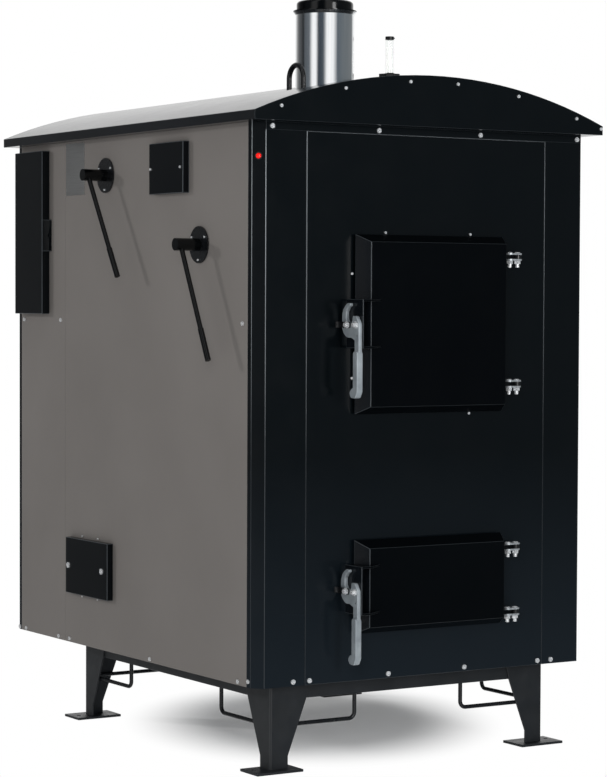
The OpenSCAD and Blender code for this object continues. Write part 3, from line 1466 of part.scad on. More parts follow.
base_frame();
legs();
foot_plates();
tie_down_loops();
floor_pan();
water_jacket();
firebox();
refractory();
fire_tubes();
smoke_duct();
vessel_ports();
insulation();
cabinet_frame();
front_panel_centre();
front_corner_panels();
header_strip();
side_panels();
rear_side_panels();
rear_panel();
rear_door();
rear_door_handle();
roof_sheet();
roof_gables();
chimney();
chimney_plug();
lifting_hoop();
sight_tube();
sight_tube_fitting();
float_rod();
service_covers();
control_box();
control_box_door();
controller();
controller_knob();
power_switch();
data_plate();
indicator_lamp();
loading_door();
loading_door_plug();
loading_door_seal();
loading_door_hardware();
loading_links();
loading_latch();
ash_door();
ash_door_plug();
ash_door_seal();
ash_door_hardware();
ash_links();
ash_latch();
door_mounts();
lever_flanges();
bypass_lever();
cleaner_lever();
turbulators();
blower_housing();
blower_wheel();
air_gate();
pipework();
drain_handle();
fasteners();
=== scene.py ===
import json
import math
import bmesh
import bpy
from mathutils import Matrix, Vector


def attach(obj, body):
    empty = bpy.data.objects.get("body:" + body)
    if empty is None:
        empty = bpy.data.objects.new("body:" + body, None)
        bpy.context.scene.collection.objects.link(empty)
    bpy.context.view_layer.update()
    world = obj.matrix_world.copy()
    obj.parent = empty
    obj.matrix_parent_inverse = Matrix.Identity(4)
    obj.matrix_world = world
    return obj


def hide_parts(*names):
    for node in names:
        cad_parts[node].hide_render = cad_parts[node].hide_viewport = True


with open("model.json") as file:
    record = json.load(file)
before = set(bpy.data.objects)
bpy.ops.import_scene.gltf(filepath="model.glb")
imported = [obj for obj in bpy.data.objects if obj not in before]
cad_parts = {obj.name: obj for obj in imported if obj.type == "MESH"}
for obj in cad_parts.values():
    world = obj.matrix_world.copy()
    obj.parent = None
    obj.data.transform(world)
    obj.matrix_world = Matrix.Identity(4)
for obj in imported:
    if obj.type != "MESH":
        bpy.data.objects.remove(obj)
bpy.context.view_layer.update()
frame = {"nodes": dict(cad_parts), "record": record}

print("frame loaded")

mm = 0.001
scene = bpy.context.scene
scene.view_settings.view_transform = "Standard"
bodyOf = {node: body for body, nodes in frame["record"]["behaviour"]["bodies"].items() for node in nodes}


def hexToLinear(code):
    channels = [int(code[i:i + 2], 16) / 255 for i in (1, 3, 5)]
    return [c / 12.92 if c <= 0.04045 else ((c + 0.055) / 1.055) ** 2.4 for c in channels] + [1.0]


def addNode(tree, kind, inputs=None, stops=None, **settings):
    # adds one node with its options and colour stops, and fills its sockets with plain values or links;
    # a node that is given as a value is linked by its first output
    node = tree.nodes.new("ShaderNode" + kind)
    for name, value in settings.items():
        setattr(node, name, value)
    if stops:
        ramp = node.color_ramp
        while len(ramp.elements) < len(stops):
            ramp.elements.new(0.5)
        for element, (place, code) in zip(ramp.elements, stops):
            element.position = place
            element.color = hexToLinear(code)
    for name, value in (inputs or {}).items():
        if isinstance(value, bpy.types.Node):
            value = value.outputs[0]
        if isinstance(value, bpy.types.NodeSocket):
            tree.links.new(value, node.inputs[name])
        else:
            node.inputs[name].default_value = value
    return node


def newFinish(name, **sockets):
    # a Principled material whose plain numbers go straight to the shader's sockets
    material = bpy.data.materials.new(name)
    material.use_nodes = True
    tree = material.node_tree
    shader = tree.nodes["Principled BSDF"]
    for label, value in sockets.items():
        shader.inputs[label.replace("_", " ")].default_value = value
    coords = addNode(tree, "TexCoord").outputs["Object"]
    return material, tree, shader, coords


def setLook(tree, shader, tones, worn=None, relief=None, over=None, toneEnds=(0.3, 0.7),
            wornEnds=(0.35, 0.65)):
    # tones is a pattern with its dark and its light colour, worn a pattern with its least and its most
    # roughness, relief a pattern with its depth in millimetres and its strength, and over the share and
    # the tone of a second colour; the ends are the values of a pattern between which all that happens
    pattern, dark, light = tones
    colour = addNode(tree, "ValToRGB", {"Fac": pattern},
                     stops=[(toneEnds[0], dark), (toneEnds[1], light)]).outputs[0]
    if over:
        share, second = over
        colour = addNode(tree, "Mix", {0: share, 6: colour, 7: hexToLinear(second)},
                         data_type="RGBA").outputs[2]
    tree.links.new(colour, shader.inputs["Base Color"])
    if worn:
        pattern, least, most = worn
        polish = addNode(tree, "MapRange", {"Value": pattern, "From Min": wornEnds[0],
                                            "From Max": wornEnds[1], "To Min": least, "To Max": most})
        tree.links.new(polish.outputs[0], shader.inputs["Roughness"])
    if relief:
        pattern, depth, strength = relief
        bump = addNode(tree, "Bump", {"Height": pattern, "Distance": depth * mm, "Strength": strength})
        tree.links.new(bump.outputs[0], shader.inputs["Normal"])


def powderCoat(name, dark, light, roughness, gloss=0.5, low=None, knee=(0.25, 0.95), wear=0.025):
    # powder coat on folded sheet: dry satin skin with a faint orange peel and slow tone drift;
    # low is a tone of painted light that it takes at the foot of the knee, two heights in metres: a painted
    # sheen on the black panels and a fading painted highlight on the folds
    material, tree, shader, coords = newFinish(name, Specular_IOR_Level=gloss, IOR=1.5)
    drift = addNode(tree, "TexNoise", {"Vector": coords, "Scale": 1 / (450 * mm), "Detail": 3})
    smudge = addNode(tree, "TexNoise", {"Vector": coords, "Scale": 1 / (120 * mm), "Detail": 4,
                                        "Roughness": 0.6})
    # orange peel is about 2 mm across, drawn at 5 mm so that it shows
    peel = addNode(tree, "TexNoise", {"Vector": coords, "Scale": 1 / (5 * mm)})
    over = None
    # painted light by height: the colour turns to the low tone towards the bottom
    if low:
        height = addNode(tree, "SeparateXYZ", {"Vector": coords}).outputs["Z"]
        over = (addNode(tree, "MapRange", {"Value": height, "From Min": knee[0], "From Max": knee[1],
                                           "To Min": 1.0, "To Max": 0.0}), low)
    setLook(tree, shader, (drift, dark, light), (smudge, roughness - wear, roughness + wear),
            (peel, 0.1, 0.25), over)
    return material


def glossEnamel(name, dark, light, roughness, grit=0.4, gloss=0.5):
    # brushed and sprayed enamel on welded steel: wet look, runs and specks of grit
    material, tree, shader, coords = newFinish(name, Specular_IOR_Level=gloss, IOR=1.5)
    drift = addNode(tree, "TexNoise", {"Vector": coords, "Scale": 1 / (80 * mm), "Detail": 4})
    runs = addNode(tree, "TexNoise", {"Vector": coords, "Scale": 1 / (50 * mm), "Detail": 3})
    # specks of 1 mm drawn at 4 mm
    specks = addNode(tree, "TexNoise", {"Vector": coords, "Scale": 1 / (4 * mm), "Detail": 3,
                                        "Roughness": 0.6})
    setLook(tree, shader, (drift, dark, light), (runs, roughness - 0.05, roughness + 0.06),
            (specks, 0.3, grit))
    return material


def platedSteel(name, dark, light, roughness, grain, metal=1.0):
    # zinc-plated or galvanised steel: bright metal with a crystal mottle, its grain in millimetres
    material, tree, shader, coords = newFinish(name, Metallic=metal)
    cells = addNode(tree, "TexVoronoi", {"Vector": coords, "Scale": 1 / (grain * mm)})
    mottle = addNode(tree, "SeparateColor", {0: cells.outputs["Color"]})
    setLook(tree, shader, (mottle, dark, light), (mottle, roughness - 0.06, roughness + 0.06),
            (mottle, 0.1, 0.3), toneEnds=(0.1, 0.9), wornEnds=(0, 1))
    return material


def rolledStainless(name):
    # rolled stainless pipe: soft bright bands, faint draw lines along the pipe and rolling ripples
    material, tree, shader, coords = newFinish(name, Metallic=1.0)
    drawn = addNode(tree, "Mapping", {"Vector": coords, "Scale": (1, 1, 0.02)})
    lines = addNode(tree, "TexNoise", {"Vector": drawn, "Scale": 1 / (4 * mm)})
    rolled = addNode(tree, "Mapping", {"Vector": coords, "Scale": (1, 1, 0.35)})
    ripple = addNode(tree, "TexNoise", {"Vector": rolled, "Scale": 1 / (90 * mm), "Detail": 1,
                                        "Roughness": 0.4})
    setLook(tree, shader, (lines, "#eceff1", "#f8f9fa"), (lines, 0.11, 0.17), (ripple, 1.2, 0.5))
    return material


def paintedCasting(name, dark, light):
    # aluminium-grey paint over a sand casting: pebbled skin, half metal sheen, rubbed lighter where held
    material, tree, shader, coords = newFinish(name, Metallic=0.35, Specular_IOR_Level=0.5)
    drift = addNode(tree, "TexNoise", {"Vector": coords, "Scale": 1 / (30 * mm), "Detail": 4})
    rubbed = addNode(tree, "TexNoise", {"Vector": coords, "Scale": 1 / (20 * mm), "Detail": 3})
    # sand grains of 0.5 mm drawn at 3 mm
    sand = addNode(tree, "TexNoise", {"Vector": coords, "Scale": 1 / (3 * mm), "Detail": 3,
                                      "Roughness": 0.6})
    setLook(tree, shader, (drift, dark, light), (rubbed, 0.34, 0.5), (sand, 0.5, 0.5))
    return material


def millPlate(name, dark, light, rust):
    # hot-rolled boiler plate: blue-grey mill scale with rust bloom
    material, tree, shader, coords = newFinish(name, Metallic=0.55)
    scale = addNode(tree, "TexNoise", {"Vector": coords, "Scale": 1 / (60 * mm), "Detail": 5,
                                       "Roughness": 0.6})
    spots = addNode(tree, "TexNoise", {"Vector": coords, "Scale": 1 / (140 * mm), "Detail": 6,
                                       "Roughness": 0.65})
    bloom = addNode(tree, "MapRange", {"Value": spots, "From Min": 0.5, "From Max": 0.66, "To Max": 0.8})
    flakes = addNode(tree, "TexNoise", {"Vector": coords, "Scale": 1 / (8 * mm), "Detail": 5,
                                        "Roughness": 0.6})
    setLook(tree, shader, (scale, dark, light), (bloom, 0.42, 0.85), (flakes, 0.6, 0.6), (bloom, rust),
            wornEnds=(0, 0.8))
    return material


def castRefractory(name):
    # cast refractory: chalky buff, open pores of 3 to 6 mm, smoke-stained
    material, tree, shader, coords = newFinish(name, Roughness=0.92)
    stain = addNode(tree, "TexNoise", {"Vector": coords, "Scale": 1 / (110 * mm), "Detail": 5,
                                       "Roughness": 0.6})
    cells = addNode(tree, "TexVoronoi", {"Vector": coords, "Scale": 1 / (7 * mm)})
    pores = addNode(tree, "MapRange", {"Value": cells.outputs["Distance"], "From Min": 0.05,
                                       "From Max": 0.3})
    setLook(tree, shader, (stain, "#6e6252", "#c3b092"), relief=(pores, 1, 0.6), toneEnds=(0.36, 0.62))
    return material


def mineralWool(name):
    # mineral wool slab: matted golden fibres laid in sheets
    material, tree, shader, coords = newFinish(name, Roughness=1.0, Sheen_Weight=0.3)
    laid = addNode(tree, "Mapping", {"Vector": coords, "Scale": (1, 1, 3)})
    fibres = addNode(tree, "TexNoise", {"Vector": laid, "Scale": 1 / (6 * mm), "Detail": 5,
                                        "Roughness": 0.7})
    setLook(tree, shader, (fibres, "#8a7233", "#d9c57d"), relief=(fibres, 4, 0.8))
    return material


def glassRope(name):
    # braided glass rope: pale, furry, with a diagonal braid, drawn a few strands wide so that it shows
    material, tree, shader, coords = newFinish(name, Roughness=0.95, Sheen_Weight=0.2)
    braid = addNode(tree, "TexWave", {"Vector": coords, "Scale": 1 / (60 * mm), "Distortion": 1.5},
                    bands_direction="DIAGONAL").outputs["Fac"]  # bands 22 mm apart
    setLook(tree, shader, (braid, "#a79f90", "#e6e0d2"), relief=(braid, 2, 0.7))
    return material


def mouldedPlastic(name, dark, light, roughness):
    # moulded ABS or nylon: even colour, fine spark-eroded grain
    material, tree, shader, coords = newFinish(name, IOR=1.5)
    drift = addNode(tree, "TexNoise", {"Vector": coords, "Scale": 1 / (50 * mm)})
    polish = addNode(tree, "TexNoise", {"Vector": coords, "Scale": 1 / (20 * mm)})
    grain = addNode(tree, "TexNoise", {"Vector": coords, "Scale": 1 / (1.5 * mm)})
    setLook(tree, shader, (drift, dark, light), (polish, roughness - 0.05, roughness + 0.05),
            (grain, 0.1, 0.3))
    return material


def glowPaintedNylon(name, dark, light):
    # translucent nylon rod in a clear tube: milky white, with a faint painted glow in place of the light
    # that passes through
    material, tree, shader, coords = newFinish(name, Roughness=0.4, IOR=1.53, Emission_Strength=0.45)
    shader.inputs["Emission Color"].default_value = hexToLinear(light)
    drift = addNode(tree, "TexNoise", {"Vector": coords, "Scale": 1 / (30 * mm)})
    grain = addNode(tree, "TexNoise", {"Vector": coords, "Scale": 1 / (2 * mm)})
    setLook(tree, shader, (drift, dark, light), relief=(grain, 0.1, 0.2))
    return material


def lampLens(name):
    # red polycarbonate lens with moulded ribs and a lamp behind it
    material, tree, shader, coords = newFinish(name, Roughness=0.14, IOR=1.58, Emission_Strength=0.55)
    shader.inputs["Emission Color"].default_value = hexToLinear("#ff1a10")
    ribs = addNode(tree, "TexWave", {"Vector": coords, "Scale": 1 / (20 * mm)},
                   bands_direction="Z").outputs["Fac"]  # bands 6 mm apart
    setLook(tree, shader, (ribs, "#b00b0a", "#ef1d14"), relief=(ribs, 0.5, 0.6))
    return material


def clearTubeFinish(name):
    # clear acrylic tube: almost invisible wall, shown by its edges and a slow haze along it
    material, tree, shader, coords = newFinish(name, IOR=1.3, Transmission_Weight=1.0)
    haze = addNode(tree, "TexNoise", {"Vector": coords, "Scale": 1 / (120 * mm), "Detail": 1})
    setLook(tree, shader, (haze, "#f8faf9", "#fdfefe"), (haze, 0.0, 0.03))
    return material


def bareSheet(name, dark, light, roughness):
    # bare rolled aluminium or brass: fine lines along its length
    material, tree, shader, coords = newFinish(name, Metallic=1.0)
    rolled = addNode(tree, "Mapping", {"Vector": coords, "Scale": (1, 0.03, 1)})
    lines = addNode(tree, "TexNoise", {"Vector": rolled, "Scale": 1 / (3 * mm), "Detail": 3,
                                       "Roughness": 0.6})
    setLook(tree, shader, (lines, dark, light), (lines, roughness - 0.05, roughness + 0.08),
            (lines, 0.1, 0.3))
    return material


# the black panels' low tone is a painted sheen: lighter towards the bottom
blackPanelLowSheen = powderCoat("satinBlackPowderCoatLowSheen", "#03070a", "#05090c", 0.2, 0.28, low="#141b21")
blackDoor = powderCoat("blackDoorEnamel", "#010204", "#020406", 0.2, 0.15)
blackCover = powderCoat("blackPowderCoatCovers", "#04070a", "#070a0d", 0.24, 0.18)
# the fold and hem finishes are painted highlights: grey lines on black folds; the brightest fades to darker
# from 1.75 m down to 0.95 m
foldHighlightPaint = powderCoat("blackPowderCoatFoldHighlight", "#7d8286", "#92979b", 0.3, 0.5, low="#262b2f",
                       knee=(0.95, 1.75))
dimFoldHighlightPaint = powderCoat("blackPowderCoatHemHighlight", "#25292d", "#2c3135", 0.3, 0.4)
doorFoldHighlightPaint = powderCoat("blackDoorFoldHighlight", "#34393d", "#41464a", 0.3, 0.4)
doorHemHighlightPaint = powderCoat("blackDoorHemHighlight", "#1c2023", "#23272a", 0.3, 0.4)
# the doors' left-facing faces get a lighter copy of the door finish: painted light from the left
doorLeftLightPaint = powderCoat("blackDoorBevelLeftLight", "#0c0f13", "#101418", 0.2, 0.3)
taupePanel = powderCoat("taupePowderCoat", "#6b6764", "#716d6a", 0.46, 0.3)
roofCoat = powderCoat("charcoalCoilCoat", "#121416", "#17191c", 0.15, 0.4, wear=0.01)
blackEnamel = glossEnamel("blackEnamel", "#0a0b0d", "#111316", 0.26)
leverEnamel = glossEnamel("wetBlackEnamel", "#020304", "#050607", 0.13, grit=0.12, gloss=0.3)
frameEnamel = glossEnamel("blackFrameEnamel", "#15181b", "#1b1e22", 0.42)
# a lighter copy of the frame enamel for frame faces that face left: painted light from the left
legLeftLightPaint = glossEnamel("blackLegLeftLightEnamel", "#27292b", "#2e3032", 0.42)
zinc = platedSteel("brightZincPlate", "#dfe2e5", "#fafbfc", 0.28, 4, metal=0.6)
dullZinc = platedSteel("dullZincPlate", "#a9aeb2", "#c4c9cd", 0.34, 4, metal=0.6)
galvanised = platedSteel("galvanisedSheet", "#8a8f94", "#b3b8bd", 0.38, 14)
stainless = rolledStainless("rolledStainless")
greyCasting = paintedCasting("paintedCasting", "#8d959b", "#a6aeb3")
boilerPlate = millPlate("boilerPlate", "#34373a", "#4b4f53", "#5c3a24")
refractory = castRefractory("castRefractory")
wool = mineralWool("mineralWool")
ropeSeal = glassRope("glassRope")
blackPlastic = mouldedPlastic("blackNylon", "#101113", "#17181a", 0.4)
whitePlasticPaintedGlow = glowPaintedNylon("whiteNylonPaintedGlow", "#dcddd9", "#f0f0ee")
greyPlastic = mouldedPlastic("greyAbsCase", "#a9adb0", "#b9bdc0", 0.42)
redPlastic = mouldedPlastic("redVinyl", "#8c1210", "#a81714", 0.3)
redLens = lampLens("redLens")
clearTube = clearTubeFinish("clearAcrylic")
bareAluminium = bareSheet("rolledAluminium", "#d2d1cf", "#e2e1df", 0.5)
brass = bareSheet("castBrass", "#9c7634", "#c39a4c", 0.35)
print("materials ready")


# angles in degrees; the last three say how far a normal has to lean for a face to count as level, as
# not facing left, or as facing left, which chooses where the painted highlights and painted left light go
folds = {"segments": 3, "leastAngle": 35, "smoothBelow": 40, "flatWithin": 0.4, "weldMm": 0.002,
         "level": 0.3, "notLeft": -0.1, "left": -0.6}


def keep(mesh, name, finishes, node):
    # turns a bmesh into a finished piece that stands for a CAD node and rides on its body
    data = bpy.data.meshes.new(name)
    mesh.to_mesh(data)
    mesh.free()
    for finish in finishes:
        data.materials.append(finish)
    data.shade_smooth()
    data.set_sharp_from_angle(angle=math.radians(folds["smoothBelow"]))
    piece = bpy.data.objects.new(name, data)
    scene.collection.objects.link(piece)
    # flat faces stay flat beside their rounded folds
    piece.modifiers.new("flatFaceNormals", "WEIGHTED_NORMAL").keep_sharp = True
    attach(piece, bodyOf[node])
    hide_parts(node)


def weldedCopy(node):
    # the node's mesh with its loose triangles joined and its flat faces made whole
    mesh = bmesh.new()
    mesh.from_mesh(frame["nodes"][node].data)
    bmesh.ops.remove_doubles(mesh, verts=mesh.verts, dist=folds["weldMm"] * mm)
    bmesh.ops.dissolve_limit(mesh, angle_limit=math.radians(folds["flatWithin"]), verts=mesh.verts,
                             edges=mesh.edges)
    return mesh


def roundFolds(mesh, radius, least):
    # rounds the outer edges between two faces that are both wider than least; gives the new faces
    def width(face):
        return face.calc_area() / max(edge.calc_length() for edge in face.edges)
    outer = []
    for edge in mesh.edges:
        if len(edge.link_faces) != 2 or not edge.is_convex:
            continue
        if edge.calc_face_angle(0) < math.radians(folds["leastAngle"]):
            continue
        if min(width(face) for face in edge.link_faces) > least:
            outer.append(edge)
    done = bmesh.ops.bevel(mesh, geom=outer, offset=radius, offset_type="OFFSET",
                           segments=folds["segments"], profile=0.5, material=-1, affect="EDGES",
                           clamp_overlap=False)
    return done["faces"]


def roundedCopy(node, name, finish, radius, least, foldHighlightFinish, levelFoldHighlightFinish, paintedLeftLightFinish):
    # the fold finish is a painted highlight for the rounded folds, the hem finish a painted highlight for
    # those that lie level, and the left finish a lighter copy of the main finish, painted light, for faces
    # to the left; with a left finish, only folds that face left or lie level keep their painted highlight;
    # where one of them is None, the faces keep the main finish
    mesh = weldedCopy(node)
    for face in roundFolds(mesh, radius * mm, least * mm):
        face.material_index = 1 if foldHighlightFinish else 0
    for face in mesh.faces:
        if face.material_index == 1 and abs(face.normal.z) > folds["level"]:
            face.material_index = 2
        elif face.material_index == 1 and paintedLeftLightFinish and face.normal.x > folds["notLeft"]:
            face.material_index = 0
        elif face.material_index == 0 and paintedLeftLightFinish and face.normal.x < folds["left"]:
            face.material_index = 3
    keep(mesh, name, [finish, foldHighlightFinish or finish, levelFoldHighlightFinish or finish, paintedLeftLightFinish or finish], node)


# faces that face left get a lighter copy of their finish: painted light from the left
paintedLeftLightFinishes = {blackDoor: doorLeftLightPaint, frameEnamel: legLeftLightPaint}
# node: (piece name, finish, fold radius, least face width, painted highlight of the folds, painted
# highlight of level folds)
foldedSheets = {
    "front_panel_centre": ("frontPanelCentre", blackPanelLowSheen, 1.2, 4, foldHighlightPaint, dimFoldHighlightPaint),
    "front_corner_panels": ("frontCornerPanels", blackPanelLowSheen, 1.2, 4, foldHighlightPaint, dimFoldHighlightPaint),
    "header_strip": ("headerStrip", blackPanelLowSheen, 1.0, 2.5, dimFoldHighlightPaint, dimFoldHighlightPaint),
    "side_panels": ("sidePanels", taupePanel, 1.0, 4, None, None),
    "rear_side_panels": ("rearSidePanels", taupePanel, 1.0, 4, None, None),
    "rear_panel": ("rearPanel", blackPanelLowSheen, 1.6, 4, foldHighlightPaint, dimFoldHighlightPaint),
    "rear_door": ("rearDoor", blackCover, 2.0, 5, foldHighlightPaint, dimFoldHighlightPaint),
    "roof_gables": ("roofGables", blackPanelLowSheen, 0.8, 1.5, dimFoldHighlightPaint, dimFoldHighlightPaint),
    "service_covers": ("serviceCovers", blackCover, 2.0, 5, doorFoldHighlightPaint, dimFoldHighlightPaint),
    "control_box_door": ("controlBoxDoor", blackCover, 2.0, 5, doorFoldHighlightPaint, dimFoldHighlightPaint),
    "loading_door": ("loadingDoor", blackDoor, 1.6, 5, doorFoldHighlightPaint, doorHemHighlightPaint),
    "ash_door": ("ashDoor", blackDoor, 1.6, 5, doorFoldHighlightPaint, doorHemHighlightPaint),
    "legs": ("legs", frameEnamel, 1.2, 4, None, None),
    "base_frame": ("baseFrame", frameEnamel, 3.0, 8, None, None),
    "foot_plates": ("footPlates", frameEnamel, 1.0, 5, None, None),
    "door_mounts": ("doorMounts", blackEnamel, 0.8, 3, None, None),
    "loading_links": ("loadingLinks", dullZinc, 0.6, 3, None, None),
    "ash_links": ("ashLinks", dullZinc, 0.6, 3, None, None),
    "loading_latch": ("loadingLatch", greyCasting, 2.6, 4, None, None),
    "ash_latch": ("ashLatch", greyCasting, 2.6, 4, None, None),
}
for node, (name, finish, radius, least, foldHighlightFinish, levelFoldHighlightFinish) in foldedSheets.items():
    roundedCopy(node, name, finish, radius, least, foldHighlightFinish, levelFoldHighlightFinish, paintedLeftLightFinishes.get(finish))
print("folded sheets done")

# nodes that keep their CAD mesh and only get their finish
plainFinishes = {
    "tie_down_loops": blackEnamel, "floor_pan": galvanised, "water_jacket": boilerPlate,
    "firebox": boilerPlate, "refractory": refractory, "fire_tubes": boilerPlate,
    "smoke_duct": boilerPlate, "vessel_ports": boilerPlate, "insulation": wool,
    "cabinet_frame": galvanised, "rear_door_handle": blackPlastic, "roof_sheet": roofCoat,
    "chimney": stainless, "chimney_plug": leverEnamel, "lifting_hoop": blackEnamel,
    "sight_tube": clearTube, "sight_tube_fitting": blackPlastic, "float_rod": whitePlasticPaintedGlow,
    "control_box": blackCover, "controller": greyPlastic, "controller_knob": blackPlastic,
    "power_switch": redPlastic, "data_plate": bareAluminium,
    "loading_door_plug": refractory, "loading_door_seal": ropeSeal, "loading_door_hardware": zinc,
    "ash_door_plug": refractory, "ash_door_seal": ropeSeal, "ash_door_hardware": zinc,
    "lever_flanges": blackEnamel, "bypass_lever": leverEnamel, "cleaner_lever": leverEnamel,
    "turbulators": boilerPlate, "blower_housing": blackEnamel, "blower_wheel": galvanised,
    "air_gate": galvanised, "pipework": brass, "drain_handle": redPlastic, "fasteners": zinc,
}
for node, finish in plainFinishes.items():
    data = frame["nodes"][node].data
    data.materials.clear()
    data.materials.append(finish)
print("CAD finishes done")

# indicator lamp: the CAD shape with a black bezel, and a red dome further out than the rim
# (middle and rim in millimetres)
lamp = {"middle": (-579, -654, 1828), "outward": (-1, -1, 0), "rim": 4.02}
lampMiddle = Vector(lamp["middle"]) * mm
lampAxis = Vector(lamp["outward"]).normalized()
mesh = weldedCopy("indicator_lamp")
for face in mesh.faces:
    if (face.calc_center_median() - lampMiddle).dot(lampAxis) > lamp["rim"] * mm:
        face.material_index = 1
keep(mesh, "indicatorLamp", [blackPlastic, redLens], "indicator_lamp")
print("lamp done")


# view found from the photograph's straight edges, in millimetres and degrees, and what the camera has:
# its sensor in millimetres and the farthest point that it sees in metres
view = {"place": (-4388, -7042, 1405), "azimuth": -31.7244, "down": 2.2139, "roll": 0.2288,
        "focalPixels": 2541.34, "centre": (298.79, 399.21), "frame": (607, 777), "sensor": 24,
        "farthest": 100}


def addCamera():
    turn = math.radians(-view["azimuth"])
    dip = math.radians(view["down"])
    roll = math.radians(view["roll"])
    forward = Vector((math.sin(turn) * math.cos(dip), math.cos(turn) * math.cos(dip), -math.sin(dip)))
    right = Vector((math.cos(turn), -math.sin(turn), 0))
    up = right.cross(forward)
    tiltedRight = math.cos(roll) * right + math.sin(roll) * up
    tiltedUp = -math.sin(roll) * right + math.cos(roll) * up
    lens = bpy.data.cameras.new("viewCamera")
    wide, high = view["frame"]
    lens.sensor_fit = "VERTICAL"
    lens.sensor_height = view["sensor"]
    lens.lens = view["focalPixels"] / high * lens.sensor_height
    lens.shift_x = (wide / 2 - view["centre"][0]) / high
    lens.shift_y = (view["centre"][1] - high / 2) / high
    lens.clip_end = view["farthest"]
    camera = bpy.data.objects.new("viewCamera", lens)
    turned = Matrix((tiltedRight, tiltedUp, -forward)).transposed().to_4x4()
    camera.matrix_world = Matrix.Translation(Vector(view["place"]) * mm) @ turned
    scene.collection.objects.link(camera)
    scene.camera = camera


# place and target in metres, width and height in metres, power in watts; polished surfaces mirror
# only the world's cards and the softboxes whose last value says so
softboxes = {
    "rearLeftKey": ((-8.2, 9.3, 4.2), (-0.6, 0.0, 1.2), 1.0, 1.0, 500, False),
    "frontLeft": ((-3.0, -4.0, 2.0), (-0.6, -0.6, 1.0), 1.2, 2.0, 68, False),
    "frontRight": ((0.25, -6.6, 2.1), (0, -0.7, 1.0), 1.3, 2.4, 90, True),
    "overhead": ((0, 0, 5.0), (0, 0, 1.0), 4.0, 4.0, 70, False),
}


def addSoftbox(name, place, target, width, height, power, mirrored):
    light = bpy.data.lights.new(name, "AREA")
    light.shape = "RECTANGLE"
    light.size = width
    light.size_y = height
    light.energy = power
    holder = bpy.data.objects.new(name, light)
    aim = (Vector(target) - Vector(place)).to_track_quat("-Z", "Y")
    holder.matrix_world = Matrix.Translation(Vector(place)) @ aim.to_matrix().to_4x4()
    holder.visible_glossy = mirrored
    scene.collection.objects.link(holder)
    return holder


def skipPiece(light, piece):
    # keeps one softbox off one piece
    skipped = bpy.data.collections.new(light.name + "Skips")
    light.light_linking.receiver_collection = skipped
    skipped.objects.link(piece)
    skipped.collection_objects[0].light_linking.link_state = "EXCLUDE"


# shadowMiddle, shadowTurn and shadowHalf are the ellipse that keeps the object's shadow, in metres and
# radians, and it fades out between fadeFrom and fadeTo times that size; veil is the share of plain
# backdrop white that lies over the deepest shadow
floorLook = {"radius": 30, "sides": 96, "tone": "#f4f4f4", "shadowMiddle": (0.113, 0.141, 0),
             "shadowTurn": -0.5, "shadowHalf": (0.325, 0.447, 1), "fadeFrom": 0.95, "fadeTo": 2.0,
             "veil": 0.16}


def addFloor():
    # pale floor that keeps the shadow near the object and melts into the white backdrop further out
    mesh = bmesh.new()
    bmesh.ops.create_circle(mesh, cap_ends=True, segments=floorLook["sides"],
                             radius=floorLook["radius"])
    data = bpy.data.meshes.new("studioFloor")
    mesh.to_mesh(data)
    mesh.free()
    material = bpy.data.materials.new("paleFloor")
    material.use_nodes = True
    tree = material.node_tree
    tree.nodes.clear()
    place = addNode(tree, "NewGeometry").outputs["Position"]
    local = addNode(tree, "Mapping", {"Vector": place, "Location": floorLook["shadowMiddle"],
                                      "Rotation": (0, 0, floorLook["shadowTurn"]),
                                      "Scale": floorLook["shadowHalf"]}, vector_type="TEXTURE").outputs[0]
    away = addNode(tree, "VectorMath", {0: local}, operation="LENGTH").outputs["Value"]
    fade = addNode(tree, "MapRange", {"Value": away, "From Min": floorLook["fadeFrom"],
                                      "From Max": floorLook["fadeTo"], "To Min": floorLook["veil"]},
                   interpolation_type="SMOOTHSTEP").outputs[0]
    white = addNode(tree, "Emission", {"Color": (1, 1, 1, 1), "Strength": 1.0}).outputs[0]
    matt = addNode(tree, "BsdfDiffuse", {"Color": hexToLinear(floorLook["tone"])}).outputs[0]
    # mirrored rays pass the far floor and meet the world's cards below the horizon
    clear = addNode(tree, "BsdfTransparent").outputs[0]
    mirrored = addNode(tree, "LightPath").outputs["Is Glossy Ray"]
    far = addNode(tree, "MixShader", {0: mirrored, 1: white, 2: clear}).outputs[0]
    mix = addNode(tree, "MixShader", {0: fade, 1: matt, 2: far}).outputs[0]
    addNode(tree, "OutputMaterial", {"Surface": mix})
    data.materials.append(material)
    floor = bpy.data.objects.new("studioFloor", data)
    scene.collection.objects.link(floor)


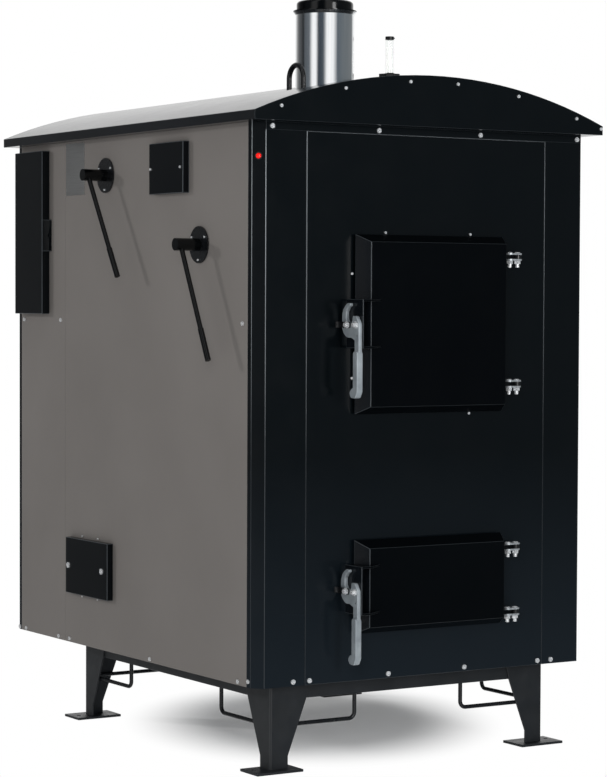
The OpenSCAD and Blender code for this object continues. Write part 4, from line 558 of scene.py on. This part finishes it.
# what polished metal mirrors all round the object, from 0 straight behind it to 0.5 at the camera and on
# to the camera's right: white behind and, on the camera's side, two tall white cards between dark ones
cards = [(0.0, "#ffffff"), (0.09, "#d8d8d8"), (0.12, "#8e8e8e"), (0.169, "#56585a"), (0.208, "#484a4c"),
         (0.242, "#1c1e20"), (0.262, "#565b60"), (0.327, "#62686e"), (0.352, "#e8e8e8"), (0.364, "#ffffff"),
         (0.402, "#ffffff"), (0.424, "#42484e"), (0.438, "#3a424b"), (0.488, "#4a525a"), (0.522, "#ffffff"),
         (0.59, "#ffffff"), (0.64, "#5a636b"), (0.72, "#6a7074"), (0.86, "#74787a"), (0.90, "#f4f4f4"),
         (1.0, "#ffffff")]
domeTone = "#868889"  # even grey dome that gives the diffuse light


def addWorld():
    # white backdrop for the camera and through glass, the cards for mirrors and the dome for the rest
    world = bpy.data.worlds.new("studio")
    world.use_nodes = True
    scene.world = world
    tree = world.node_tree
    tree.nodes.clear()
    ray = addNode(tree, "TexCoord").outputs["Generated"]
    axes = addNode(tree, "SeparateXYZ", {0: ray}).outputs
    toCamera = math.atan2(view["place"][1], view["place"][0])
    spin = addNode(tree, "Math", {0: axes["Y"], 1: axes["X"]}, operation="ARCTAN2").outputs[0]
    turn = addNode(tree, "Math", {0: spin, 1: toCamera - math.pi}, operation="SUBTRACT").outputs[0]
    part = addNode(tree, "Math", {0: turn, 1: 2 * math.pi}, operation="DIVIDE").outputs[0]
    wrapped = addNode(tree, "Math", {0: part}, operation="FRACT").outputs[0]
    mirror = addNode(tree, "ValToRGB", {"Fac": wrapped}, stops=cards).outputs[0]
    rays = addNode(tree, "LightPath").outputs
    seen = addNode(tree, "Math", {0: rays["Is Camera Ray"], 1: rays["Is Transmission Ray"]},
                   operation="MAXIMUM").outputs[0]
    lit = addNode(tree, "Mix", {0: rays["Is Glossy Ray"], 6: hexToLinear(domeTone), 7: mirror},
                  data_type="RGBA").outputs[2]
    colour = addNode(tree, "Mix", {0: seen, 6: lit, 7: (1, 1, 1, 1)}, data_type="RGBA").outputs[2]
    sky = addNode(tree, "Background", {"Color": colour, "Strength": 1.0}).outputs[0]
    addNode(tree, "OutputWorld", {"Surface": sky})


addCamera()
addFloor()
addWorld()
lights = {name: addSoftbox(name, *values) for name, values in softboxes.items()}
# the chimney mirrors the soft cards only, and the hoop beside it stays out of mirrors
skipPiece(lights["frontRight"], frame["nodes"]["chimney"])
frame["nodes"]["lifting_hoop"].visible_glossy = False
print("studio ready")
